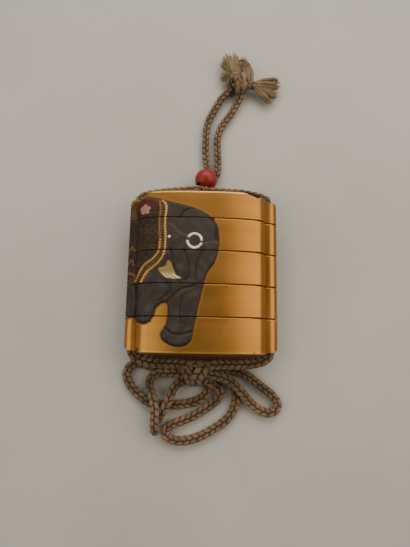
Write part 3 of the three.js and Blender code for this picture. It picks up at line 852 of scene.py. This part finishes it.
# %% Rings of each case
SEAMS = (23.3, 8.6, -6.0, -20.2)
SEAM_GAP = 0.35
SEAM_TUCK = 0.14
RISER_HEIGHT = 3.0
RECESS_DEPTH = 3.3
FLOOR_ABOVE_SEAM = 4.9
LID_ROOF_Y = 32.6
BASE_FLOOR_Y = -33.4
TRIMMED_END = 6.0
RING_STEP = 0.25
DOME_SCALES = (0.992, 0.975, 0.95, 0.91, 0.86, 0.79, 0.7, 0.6, 0.45, 0.3)
TOP_EDGE = np.array([
    (0, 40), (8, 39), (19, 37.7), (24.3, 35.6), (28.6, 33.5), (31.2, 33.6), (33, 33.1), (34.4, 31.2),
])
LOW_EDGE = np.array([
    (0, 40), (8, 39), (21.5, 37.5), (26.8, 35.7), (28.9, 34.8), (31.4, 34.7), (33.4, 33.8), (34.4, 32),
])


def edge_limit(x, edge):
    return np.interp(np.abs(x), edge[:, 0], edge[:, 1])


def skin_ring(y, scale=1.0, drawn_in=0.0):
    """One ring of the outer skin, cut back at the corners of the stack."""
    x, height = OUTER[:, 0] * scale, OUTER[:, 1] * scale
    edge = TOP_EDGE if y > 0 else LOW_EDGE
    limit = edge_limit(x, edge)
    if scale < 1:
        reach = np.minimum(abs(y), limit)
    else:
        start = RIM_Y - TRIMMED_END
        end = np.minimum(RIM_Y, limit)
        reach = np.where(abs(y) > start, start + (abs(y) - start) * (end - start) / (RIM_Y - start), abs(y))
    if drawn_in:
        tangent = np.roll(OUTER[:, :2], -1, 0) - np.roll(OUTER[:, :2], 1, 0)
        tangent /= np.linalg.norm(tangent, axis=1)[:, None]
        x, height = x + tangent[:, 1] * drawn_in, height - tangent[:, 0] * drawn_in
    return np.stack([x, np.copysign(reach, y), height], 1)


def flat_ring(section, y):
    return np.stack([section[:, 0], np.full(len(section), y), section[:, 1]], 1)


def dome_rings(side):
    return [(skin_ring(side * (RIM_Y + DOME_RISE * math.sqrt(1 - s * s)), s), "dome") for s in DOME_SCALES]


def case_rings(bottom, top, floor_top):
    """Every ring of one piece from below to above, each with the part it belongs to."""
    is_lid, is_lowest = top is None, bottom is None
    if is_lowest:
        rings = dome_rings(-1)[::-1]
    else:
        roof = floor_top if is_lid else bottom + RECESS_DEPTH
        rings = [(flat_ring(RECESS, roof), "inside"), (flat_ring(RECESS, bottom), "inside"),
                 (skin_ring(bottom, drawn_in=SEAM_TUCK), "lip")]
    first = -RIM_Y if is_lowest else bottom + SEAM_TUCK
    last = RIM_Y if is_lid else top - SEAM_TUCK
    for y in np.linspace(first, last, round((last - first) / RING_STEP) + 1):
        rings.append((skin_ring(y), "skin"))
    if is_lid:
        return rings + dome_rings(1)
    risen = top + RISER_HEIGHT
    rings.append((skin_ring(top, drawn_in=SEAM_TUCK), "lip"))
    for section, y in ((RISER, top), (RISER, risen), (HOLLOW, risen), (HOLLOW, floor_top)):
        rings.append((flat_ring(section, y), "inside"))
    return rings


def stack_plan():
    half = SEAM_GAP / 2
    plan = {"lid": (SEAMS[0] + half, None, LID_ROOF_Y)}
    for number, seam in enumerate(SEAMS, 1):
        lowest = number == len(SEAMS)
        bottom = None if lowest else SEAMS[number] + half
        floor_top = BASE_FLOOR_Y if lowest else bottom + FLOOR_ABOVE_SEAM
        plan[f"case_{number}"] = (bottom, seam - half, floor_top)
    return plan


for name, limits in stack_plan().items():
    print(name, "from, to, floor or roof in mm:", limits, "rings:", len(case_rings(*limits)))

# %% [markdown]
# ## Drawing on the skin
#
# The maker drew the elephant on the closed stack, built it up with lacquer putty, and cut
# it through at the seams. The same is done here with outlines: a smooth closed line for
# every shape, and for each point of the skin its distance from that line. A distance
# makes a soft-edged mound, an even border or a fine ridge, and it crosses the seams
# without a step because all five pieces are measured against the same lines.

# %% Outlines and distances
def smooth_outline(points, closed=True, per_span=5):
    if not closed:
        return smooth_curve(points, per_span)
    count = len(points)
    wrapped = [points[(i - 2) % count] for i in range(count + 4)]
    line = smooth_curve(wrapped, per_span)
    return line[2 * per_span:(count + 2) * per_span + 1]


def distance_to(x, y, line):
    """How far each point lies from a line, and how far along the line its foot is."""
    nearest = np.full(x.shape, 1e9)
    foot = np.zeros(x.shape)
    along = distances_along(line)
    for index, (a, b) in enumerate(zip(line, line[1:])):
        step = b - a
        length = max(float(step @ step), 1e-12)
        share = np.clip(((x - a[0]) * step[0] + (y - a[1]) * step[1]) / length, 0, 1)
        here = np.hypot(x - a[0] - share * step[0], y - a[1] - share * step[1])
        closer = here < nearest
        nearest = np.where(closer, here, nearest)
        foot = np.where(closer, along[index] + share * math.sqrt(length), foot)
    return nearest, foot


def depth_inside(skin, points):
    """Distance from a closed outline, positive inside it and negative outside."""
    x, y = skin["x"], skin["y"]
    line = smooth_outline(points)
    inside = np.zeros(x.shape, bool)
    for a, b in zip(line, line[1:]):
        if a[1] == b[1]:
            continue
        crosses = (a[1] > y) != (b[1] > y)
        inside ^= crosses & (x < (b[0] - a[0]) * (y - a[1]) / (b[1] - a[1]) + a[0])
    distance, _ = distance_to(x, y, line)
    return np.where(inside, distance, -distance)


def from_line(skin, line):
    """Each skin point's distance from an open line, and how far along it that is."""
    return distance_to(skin["x"], skin["y"], smooth_outline(line, closed=False))


def soft(depth, width):
    """Turns a depth into a share that rises from 0 to 1 over the given width."""
    share = np.clip(depth / width, 0, 1)
    return share * share * (3 - 2 * share)


def mound(depth, shoulder):
    """A rounded step: steep at the outline and level past the shoulder's width."""
    share = np.clip(depth / shoulder, 0, 1)
    return np.sqrt(1 - (1 - share) ** 2)


def ridge(distance, half_width):
    return np.clip(1 - (distance / half_width) ** 2, 0, 1) ** 0.5


# %% [markdown]
# ## The elephant's hindquarters
#
# The animal walks round the left side, so the front shows its rump and hind legs, with a
# saddle cloth edged in two beaded gold lines. Every detail below is one short line: a
# mound, a ridge or a crease, with the colour that goes on it.
#
# The skin is handed on as a small record of arrays: the place of each point, its lift,
# its colour, how much of that colour covers the gold, and how much of it is bright gilt.

# %% Front figure
HIDE = [
    (-36, 27), (-33.2, 29.8), (-31, 32.3), (-26.2, 32.9), (-21.2, 32.4), (-15.8, 30.8), (-11, 29.6),
    (-5, 28.1), (0, 26), (3.5, 23.5), (6, 20.4), (6.9, 16), (6.9, 11), (6.2, 6.7), (5, 3), (2.6, -0.2),
    (1, -4.8), (-0.9, -13), (-2.9, -23), (-4.3, -30.2), (-6.8, -32.3), (-11.5, -32.5), (-16.2, -29.9),
    (-17, -27.5), (-15, -24), (-14.2, -18), (-14.8, -14.6), (-16.2, -14.2), (-19.5, -16.6), (-20.6, -20),
    (-24, -23.3), (-28, -22.2), (-29.5, -20.6), (-36, -20.4),
]
CLOTH = [
    (-38, 27), (-33.2, 30.4), (-31, 33), (-24, 33.4), (-18.4, 32), (-16.4, 28), (-16.8, 21.3), (-16.5, 13),
    (-17.1, 6.1), (-19.5, 2.6), (-23.5, -1), (-26, -5.6), (-30, -6.2), (-38, -6.2),
]
OUTER_BORDER = [
    (-18.2, 31), (-16.5, 28.6), (-16.8, 21.3), (-16.3, 13), (-17.1, 6.1), (-19.5, 2.6), (-23.5, -1),
    (-26, -5.6),
]
INNER_BORDER = [
    (-19.4, 30.2), (-19, 26.8), (-19.3, 21), (-18.7, 13), (-19, 8.4), (-21, 5.2), (-24.9, 1.8), (-28.4, -4.6),
]
STRAP_UPPER = [(-15.6, 19.9), (-13.2, 19.2), (-11.7, 17), (-9.6, 15.5), (-6.9, 14.9)]
STRAP_LOWER = [(-0.4, 11.3), (1.8, 11.3), (4.2, 12), (6.9, 11.2)]
RING_CENTRE, RING_RADIUS = (-3.6, 12.7), 3.1
TASSEL = [(-19.2, 0.4), (-17.8, -2.2), (-15.3, -3.9), (-11.5, -4.3), (-8.8, -4), (-11.2, -2.2), (-12.4, 0.4),
          (-13.8, 3.4), (-15.2, 3.8), (-16.2, 1.4)]
KNOB = [(-16.8, 6.6), (-14.6, 7.2), (-13.4, 4.6), (-14.4, 1.8), (-16.2, 2), (-17.2, 4.2)]
PANEL = [(-30.6, 31.2), (-25.5, 32.2), (-21.4, 31.4), (-21, 28), (-23.2, 26.4), (-29.2, 27.4)]
GOLD_PATCH = [(-33, 29.2), (-30.2, 28.6), (-29.2, 25), (-28.4, 22), (-32, 22.6), (-34, 25)]
CLOTH_LINES = [
    [(-33.8, 8.9), (-31.8, 11), (-30, 9.2)], [(-33.6, -0.6), (-29.6, -2), (-28.4, -4.6)],
    [(-33.8, 3.4), (-31.4, 5.2), (-30.6, 2.6)],
]
FOLDS = [
    [(-13.9, 9), (-12.3, 1.4), (-10.6, -2.4), (-10.2, -5.4)],
    [(-7.9, 8.3), (-6.6, 4.6), (-5.8, -1), (-5.9, -3.2), (-7.4, -4.6)],
    [(-0.3, 8.2), (-1.6, 5.4), (-2.6, 2.4), (-3, -4)],
    [(3.9, 23), (5.4, 18.6), (5.5, 13.6)],
    [(-5.4, 27.3), (-8.4, 25.8), (-10.4, 23.4)],
    [(-14.5, -6.8), (-13.4, -8.9), (-15.2, -11), (-18, -13.6)],
    [(-3.5, -7.2), (-8.5, -8.4), (-11.2, -10.4), (-14.4, -13.6)],
    [(-15.2, -25.2), (-12.6, -27.3), (-8.6, -27.8), (-4.2, -26.6)],
    [(-31.6, -8), (-30.6, -13), (-31.4, -18)],
    [(-28.2, -7.8), (-27.6, -13), (-28.4, -19)],
    [(-8.6, -12), (-9.2, -18), (-8.8, -23)],
]
NAILS = [(-15.2, -29.3), (-12.6, -30.9), (-9.4, -31.3), (-6.6, -30.6), (-4.9, -28.9)]
TOES = [(-21.2, -16.6), (-22.2, -18.4), (-22.6, -20.4), (-22.2, -22), (-25, -20.6)]
FLOWER_CENTRE = (-25.4, 27)


def lay_colour(skin, share, colour):
    """Covers part of the skin with a colour."""
    skin["colour"] += (np.array(linear(*colour)[:3]) - skin["colour"]) * share[:, None]
    skin["cover"] += (1 - skin["cover"]) * share


def lay_gold(skin, share, brightness=1.0):
    """Takes colour off again so that gold shows, and notes how bright it is."""
    skin["cover"] *= 1 - share
    skin["gilt_and_highlight"] += (brightness - skin["gilt_and_highlight"]) * share


def beaded_line(skin, line, half_width, pitch, brightness):
    distance, along = from_line(skin, line)
    bead = 0.5 + 0.5 * np.cos(2 * math.pi * along / pitch)
    here = ridge(distance, half_width)
    skin["lift"] += 0.3 * here * (0.45 + 0.55 * bead)
    lay_gold(skin, brightness * soft(here, 0.7) * (0.55 + 0.45 * bead), brightness)


def crease(skin, line, depth=0.38, half_width=0.75):
    distance, _ = from_line(skin, line)
    skin["lift"] -= depth * ridge(distance, half_width)
    # Painted shade: each crease is darkened to near black along its line.
    lay_colour(skin, 0.7 * ridge(distance, half_width), (22, 16, 12))


def raise_spot(skin, centre, radius, height, colour):
    distance = np.hypot(skin["x"] - centre[0], skin["y"] - centre[1])
    skin["lift"] += height * ridge(distance, radius)
    lay_colour(skin, soft(radius - distance, 0.35), colour)


def waves(skin, across, along):
    """Blotches without a pattern: two waves that bend each other, between -1 and 1."""
    (pace_x, bend_x, sway_x), (pace_y, bend_y, sway_y) = across, along
    first = np.sin(pace_x * skin["x"] + sway_x * np.sin(bend_x * skin["y"]))
    second = np.sin(pace_y * skin["y"] + sway_y * np.sin(bend_y * skin["x"]))
    return first * second


def draw_hide(skin, outline, height):
    depth = depth_inside(skin, outline)
    skin["lift"] += height * mound(depth, 1.5)
    # Painted shade: a dark brown rim on the gold just outside the figure's outline.
    lay_colour(skin, 0.75 * soft(depth + 0.9, 0.4), (50, 28, 11))
    lay_colour(skin, soft(depth + 0.25, 0.5), (38, 37, 34))
    clouds = waves(skin, (0.55, 0.31, 1.7), (0.62, 0.4, 1.5))
    lay_colour(skin, 0.6 * soft(depth - 0.6, 1) * soft(clouds - 0.15, 0.5), (53, 53, 50))
    lay_colour(skin, 0.5 * soft(depth - 0.6, 1) * soft(-clouds - 0.2, 0.5), (34, 28, 22))
    high = soft(skin["y"], 26)
    lay_colour(skin, 0.55 * high * soft(depth - 1, 2.5), (50, 46, 41))
    # Painted shade: a dark brown band along the figure's outline, mostly just inside it.
    lay_colour(skin, 0.7 * soft(1.2 - np.abs(depth), 1.2) * soft(depth + 0.3, 0.3), (44, 24, 10))
    return depth


def draw_cloth(skin, depth_of_hide):
    cloth = depth_inside(skin, CLOTH)
    on_cloth = soft(cloth, 0.4) * soft(depth_of_hide, 0.6)
    skin["lift"] += 0.2 * soft(cloth, 0.5) * soft(depth_of_hide, 1.0)
    lay_colour(skin, on_cloth, (34, 22, 17))
    trim = on_cloth * soft(3.4 - cloth, 0.8)
    lay_colour(skin, 0.8 * trim, (70, 48, 22))
    weave = waves(skin, (1.9, 1.3, 1.6), (2.1, 1.7, 1.4))
    skin["lift"] += 0.1 * on_cloth * soft(np.abs(weave) - 0.45, 0.3)
    lay_colour(skin, 0.4 * on_cloth * soft(weave - 0.5, 0.3), (92, 70, 36))
    lay_colour(skin, 0.6 * on_cloth * soft(-weave - 0.5, 0.3), (20, 14, 10))
    panel = depth_inside(skin, PANEL)
    lay_colour(skin, soft(panel, 0.8), (66, 20, 15))
    patch = depth_inside(skin, GOLD_PATCH)
    lay_colour(skin, 0.7 * soft(patch, 0.8), (84, 62, 30))
    for line in CLOTH_LINES:
        distance, _ = from_line(skin, line)
        lay_gold(skin, 0.35 * soft(ridge(distance, 0.5), 0.6), 0.4)
    for turn in range(5):
        angle = math.radians(90 + 72 * turn)
        petal = (FLOWER_CENTRE[0] + 1.35 * math.cos(angle), FLOWER_CENTRE[1] + 1.5 * math.sin(angle))
        raise_spot(skin, petal, 1.05, 0.14, (146, 106, 90))
    raise_spot(skin, FLOWER_CENTRE, 0.6, 0.2, (160, 122, 98))


def draw_harness(skin):
    for strap in (STRAP_UPPER, STRAP_LOWER):
        distance, along = from_line(skin, strap)
        skin["lift"] += 0.18 * ridge(distance, 0.7) * (0.7 + 0.3 * np.cos(2 * math.pi * along / 1.0))
        lay_colour(skin, soft(ridge(distance, 0.75), 0.5), (62, 50, 36))
    across, down = skin["x"] - RING_CENTRE[0], skin["y"] - RING_CENTRE[1]
    angle = np.degrees(np.arctan2(down, across)) % 360
    gaps = soft(12 - np.abs((angle - 350 + 180) % 360 - 180), 4) + soft(16 - np.abs(angle - 163), 4)
    round_ring = ridge(np.abs(np.hypot(across, down) - RING_RADIUS), 0.52) * (1 - np.clip(gaps, 0, 1))
    skin["lift"] += 0.5 * round_ring
    lay_colour(skin, soft(round_ring, 0.5), (226, 214, 180))
    knob = depth_inside(skin, KNOB)
    skin["lift"] += 0.25 * mound(knob, 1.2)
    lay_colour(skin, soft(knob, 0.4), (40, 24, 25))
    tassel = depth_inside(skin, TASSEL)
    strands = 0.5 + 0.5 * np.sin(5.2 * np.hypot(skin["x"] + 8, skin["y"] - 5))
    skin["lift"] += mound(tassel, 1.0) * (0.2 + 0.12 * strands)
    lay_colour(skin, soft(tassel, 0.35), (128, 104, 52))
    lay_colour(skin, soft(tassel, 0.35) * soft(-skin["y"] - 0.6, 2.2) * strands, (212, 192, 146))
    raise_spot(skin, (-14.7, 14.4), 0.75, 0.35, (214, 204, 190))


def draw_front(skin):
    depth = draw_hide(skin, HIDE, 0.8)
    for line in FOLDS:
        crease(skin, line)
    draw_cloth(skin, depth)
    beaded_line(skin, OUTER_BORDER, 0.5, 1.15, 0.9)
    beaded_line(skin, INNER_BORDER[:4], 0.45, 1.15, 0.45)
    beaded_line(skin, INNER_BORDER[3:], 0.5, 1.15, 0.8)
    draw_harness(skin)
    for centre in NAILS:
        raise_spot(skin, centre, 1.25, 0.14, (38, 37, 42))
    for centre in TOES:
        raise_spot(skin, centre, 1.0, 0.12, (46, 44, 42))


# %% [markdown]
# ## The forequarters, on the back
#
# The back rests on the table and is out of sight in the main view. It is finished in
# keeping: the same animal's head, trunk and forelegs, with an ear, an eye and a tusk.

# %% Back figure
FORE_HIDE = [
    (-36, 27), (-33.2, 29.8), (-31, 32), (-21, 31.5), (-12, 28.5), (-6, 30.4), (1, 28.6), (5.5, 22),
    (8.5, 12), (10, 2), (12, -6), (16.5, -8.5), (17.8, -5.2), (20.2, -6.2), (18, -12.5), (11, -12.4),
    (7, -6), (4.5, 1.5), (0.5, -1), (-1, -8), (-2.5, -22), (-3, -30.4), (-5.5, -32.5), (-11.5, -32.5),
    (-14.6, -30), (-14, -22), (-14.5, -14.5), (-18.5, -15), (-21, -19.5), (-25, -22.8), (-29, -22),
    (-29.5, -20.4), (-36, -20.4),
]
EAR = [(-9, 24), (-4, 25.5), (-1.6, 20), (-3, 12), (-7, 8), (-10.4, 12), (-11, 19)]
TUSK = [(4.8, 8), (7.2, 7.6), (11.4, 3.4), (13.4, 0.2), (10, 2), (6.4, 5.4)]
WRINKLES = [
    [(6, 16), (8.6, 15)], [(6.8, 11.6), (9.2, 10.8)], [(9.4, -1.8), (11.2, -2.6)],
    [(-14.4, -26.6), (-3.4, -27)], [(-14, -8), (-7, -9), (-2, -8.6)],
]


def draw_back(skin):
    depth = draw_hide(skin, FORE_HIDE, 0.6)
    draw_cloth(skin, depth)
    beaded_line(skin, OUTER_BORDER, 0.5, 1.15, 0.8)
    ear = depth_inside(skin, EAR)
    skin["lift"] -= 0.2 * ridge(ear, 0.8)
    lay_colour(skin, 0.5 * soft(ear, 0.6), (88, 74, 64))
    for line in WRINKLES:
        crease(skin, line, 0.18, 0.5)
    tusk = depth_inside(skin, TUSK)
    lay_colour(skin, soft(tusk, 0.3), (214, 200, 166))
    raise_spot(skin, (2.6, 18), 0.9, 0.0, (30, 22, 18))


# %% [markdown]
# ## Lacquer
#
# Gold lacquer is fine metal dust laid in wet lacquer and polished. It is warm, a little
# cloudy, brushed one way, and only half a metal. Where the figure is painted, colour
# covers the gold; inside the boxes the lacquer is plain and nearly black.
#
# One material reads all of that from the skin's own attributes, so gold, paint and dark
# inside can share one surface without seams between materials.

# %% Lacquer material
def make_lacquer():
    material, tree, shader = new_material("gold lacquer", Specular_IOR_Level=0.12)
    paint = add_node(tree, "ShaderNodeAttribute", attribute_name="paint")
    gilt_and_highlight, outside, wear_and_shade = (remembered(tree, name) for name in ("gilt_and_highlight", "outside", "wear_and_shade"))
    clouds, grain = mottle(tree, 45.0)
    brushed, fibres = mottle(tree, 60.0, (0.25, 6.0, 1.0))
    gold = mix_colour(tree, clouds, linear(141, 97, 40), linear(156, 106, 48))
    gold = mix_colour(tree, calculate(tree, "MULTIPLY", brushed, 0.35), gold, linear(124, 80, 30))
    # Brightens the gold for the beaded gilt lines, and as a painted highlight along the ends' edges.
    gold = mix_colour(tree, gilt_and_highlight, gold, linear(190, 150, 80))
    # Darkens the gold where it is worn, and as painted shade over the domed ends.
    gold = mix_colour(tree, wear_and_shade, gold, linear(84, 46, 17))
    specks = calculate(tree, "MULTIPLY", grain, 0.3)
    speckled = mix_colour(tree, specks, paint.outputs["Color"], linear(30, 20, 14))
    cover = calculate(tree, "MULTIPLY", paint.outputs["Alpha"], spread(tree, grain, 0.0, 1.0, 1.0, 0.94))
    colour = mix_colour(tree, cover, gold, speckled)
    colour = mix_colour(tree, outside, linear(26, 14, 10), colour)
    bare = calculate(tree, "MULTIPLY", calculate(tree, "SUBTRACT", 1.0, cover), outside)
    tree.links.new(calculate(tree, "MULTIPLY", bare, 0.8), shader.inputs["Metallic"])
    rough = spread(tree, clouds, 0.0, 1.0, 0.28, 0.37)
    rough = calculate(tree, "ADD", rough, calculate(tree, "MULTIPLY", cover, 0.2))
    tree.links.new(rough, shader.inputs["Roughness"])
    height = calculate(tree, "ADD", calculate(tree, "MULTIPLY", grain, 0.5), fibres)
    finish_surface(tree, shader, colour, height, 0.12, 0.06 * MM)
    return material


LACQUER = make_lacquer()

# %% [markdown]
# ## Rolling the five pieces
#
# Now the rings become skins. A flat grid is rolled through the rings of each piece and
# merged where its two long edges meet; the relief lifts the skin's points and the colours
# are written on them. The channels for the cord are then cut straight through both ribs,
# as they are drilled in the real stack, and a chip is broken from the lid's edge.

# %% Lid and cases
CHANNEL_RADIUS = 2.25 * MM
CHANNEL_CUT = 90 * MM
CHIP_OUTLINE = [(14.5, 36.9), (20, 35), (24.3, 33.5), (25.6, 34.2), (27.4, 36.6), (27, 38.5), (15, 38.5)]
CHIP_FLOOR_Z = 18.8 * MM
CHIP_CUT = 6 * MM
PLAIN_GOLD = (160, 115, 58)
WORN_SPOTS = [
    ((-27.4, -34.6), 1.5), ((10.5, -7.2), 0.5), ((24.3, 7.1), 0.45), ((23.4, 24.7), 0.5),
    ((22.6, -34.8), 0.7),
]


def dress_skin(x, y, front, part):
    """Relief, colours and wear for a set of skin points, with a painted highlight along the ends' edges and
    painted shade on the domed ends.
    """
    count = len(x)
    whole = {"lift": np.zeros(count), "colour": np.tile(np.array(linear(*PLAIN_GOLD)[:3]), (count, 1)),
             "cover": np.zeros(count), "gilt_and_highlight": np.zeros(count)}
    for chosen, draw in ((front & (part == "skin"), draw_front), (~front & (part == "skin"), draw_back)):
        skin = {name: values[chosen].copy() for name, values in whole.items()}
        skin["x"], skin["y"] = x[chosen], y[chosen]
        draw(skin)
        for name in whole:
            whole[name][chosen] = skin[name]
    # Painted highlight: a bright gilt line is laid along the edge where each end meets the sides.
    painted_arris_highlight = soft(0.5 - np.abs(np.abs(y) - RIM_Y), 0.4)
    whole["gilt_and_highlight"] = np.maximum(whole["gilt_and_highlight"], 0.7 * painted_arris_highlight)
    # Painted shade: the domed ends are darkened brown; the spots below are real wear.
    whole["wear_and_shade"] = 0.75 * soft(np.abs(y) - RIM_Y - 0.35, 0.3) * (part == "dome")
    for centre, radius in WORN_SPOTS:
        distance = np.hypot(x - centre[0], y - centre[1])
        whole["wear_and_shade"] = np.maximum(whole["wear_and_shade"], soft(radius - distance, radius * 0.8) * front)
    return whole


def roll_case(name, limits):
    rings = case_rings(*limits)
    parts = np.repeat([part for _, part in rings], len(OUTER))
    places = np.vstack([ring for ring, _ in rings])
    front = np.tile(OUTER[:, 1] >= 0, len(rings))
    lift_way = np.tile(OUTER[:, 2:], (len(rings), 1))
    outside = np.isin(parts, ("skin", "lip", "dome"))
    parts[parts == "lip"] = "skin"
    whole = dress_skin(places[:, 0], places[:, 1], front, parts)
    lift = (whole["lift"] * outside)[:, None] * lift_way
    places[:, 0] += lift[:, 0]
    places[:, 2] += lift[:, 1] + MID_Z
    mesh = bmesh.new()
    layers = {name: mesh.verts.layers.float.new(name) for name in ("gilt_and_highlight", "outside", "wear_and_shade")}
    paint = mesh.verts.layers.float_color.new("paint")
    made = bmesh.ops.create_grid(mesh, x_segments=len(OUTER), y_segments=len(rings) - 1, size=1)["verts"]
    columns = len(OUTER) + 1
    for index, vertex in enumerate(made):
        source = index // columns * len(OUTER) + index % columns % len(OUTER)
        vertex.co = places[source] * MM
        vertex[layers["outside"]] = float(outside[source])
        vertex[layers["gilt_and_highlight"]] = whole["gilt_and_highlight"][source]
        vertex[layers["wear_and_shade"]] = whole["wear_and_shade"][source]
        vertex[paint] = (*whole["colour"][source], whole["cover"][source])
    bmesh.ops.remove_doubles(mesh, verts=made, dist=1e-7)
    bmesh.ops.holes_fill(mesh, edges=[edge for edge in mesh.edges if edge.is_boundary])
    return mesh


def make_cutter(name, mesh):
    bmesh.ops.recalc_face_normals(mesh, faces=mesh.faces)
    data = bpy.data.meshes.new(name)
    mesh.to_mesh(data)
    mesh.free()
    cutter = bpy.data.objects.new(name, data)
    bpy.context.scene.collection.objects.link(cutter)
    return cutter


def channel_cutter():
    mesh = bmesh.new()
    for side in (-1, 1):
        made = bmesh.ops.create_cone(mesh, cap_ends=True, segments=32, radius1=CHANNEL_RADIUS,
                                     radius2=CHANNEL_RADIUS, depth=CHANNEL_CUT)["verts"]
        bmesh.ops.rotate(mesh, verts=made, cent=(0, 0, 0), matrix=Matrix.Rotation(math.pi / 2, 3, "X"))
        bmesh.ops.translate(mesh, verts=made, vec=(side * RIB_X * MM, 0, MID_Z * MM))
    return make_cutter("channel cutter", mesh)


def chip_cutter():
    mesh = bmesh.new()
    face = mesh.faces.new([mesh.verts.new((x * MM, y * MM, CHIP_FLOOR_Z)) for x, y in CHIP_OUTLINE])
    grown = bmesh.ops.extrude_face_region(mesh, geom=[face])["geom"]
    raised = [item for item in grown if isinstance(item, bmesh.types.BMVert)]
    bmesh.ops.translate(mesh, verts=raised, vec=(0, 0, CHIP_CUT))
    return make_cutter("chip cutter", mesh)


def cut_away(piece, cutter):
    modifier = piece.modifiers.new("cut", "BOOLEAN")
    modifier.operation = "DIFFERENCE"
    modifier.solver = "MANIFOLD"
    modifier.object = cutter
    graph = bpy.context.evaluated_depsgraph_get()
    cut = bpy.data.meshes.new_from_object(piece.evaluated_get(graph))
    piece.modifiers.clear()
    old, piece.data = piece.data, cut
    bpy.data.meshes.remove(old)


def keep_edges_crisp(piece, angle=0.8):
    mesh = bmesh.new()
    mesh.from_mesh(piece.data)
    for edge in mesh.edges:
        edge.smooth = edge.calc_face_angle(0) < angle
    mesh.to_mesh(piece.data)
    mesh.free()


channels, chip = channel_cutter(), chip_cutter()
for name, limits in stack_plan().items():
    piece = finish_piece(roll_case(name, limits), name + "_lacquer", LACQUER)
    cut_away(piece, channels)
    if name == "lid":
        cut_away(piece, chip)
    keep_edges_crisp(piece)
    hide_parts(name)
    print(piece.name, "faces:", len(piece.data.polygons))
for cutter in (channels, chip):
    bpy.data.objects.remove(cutter)
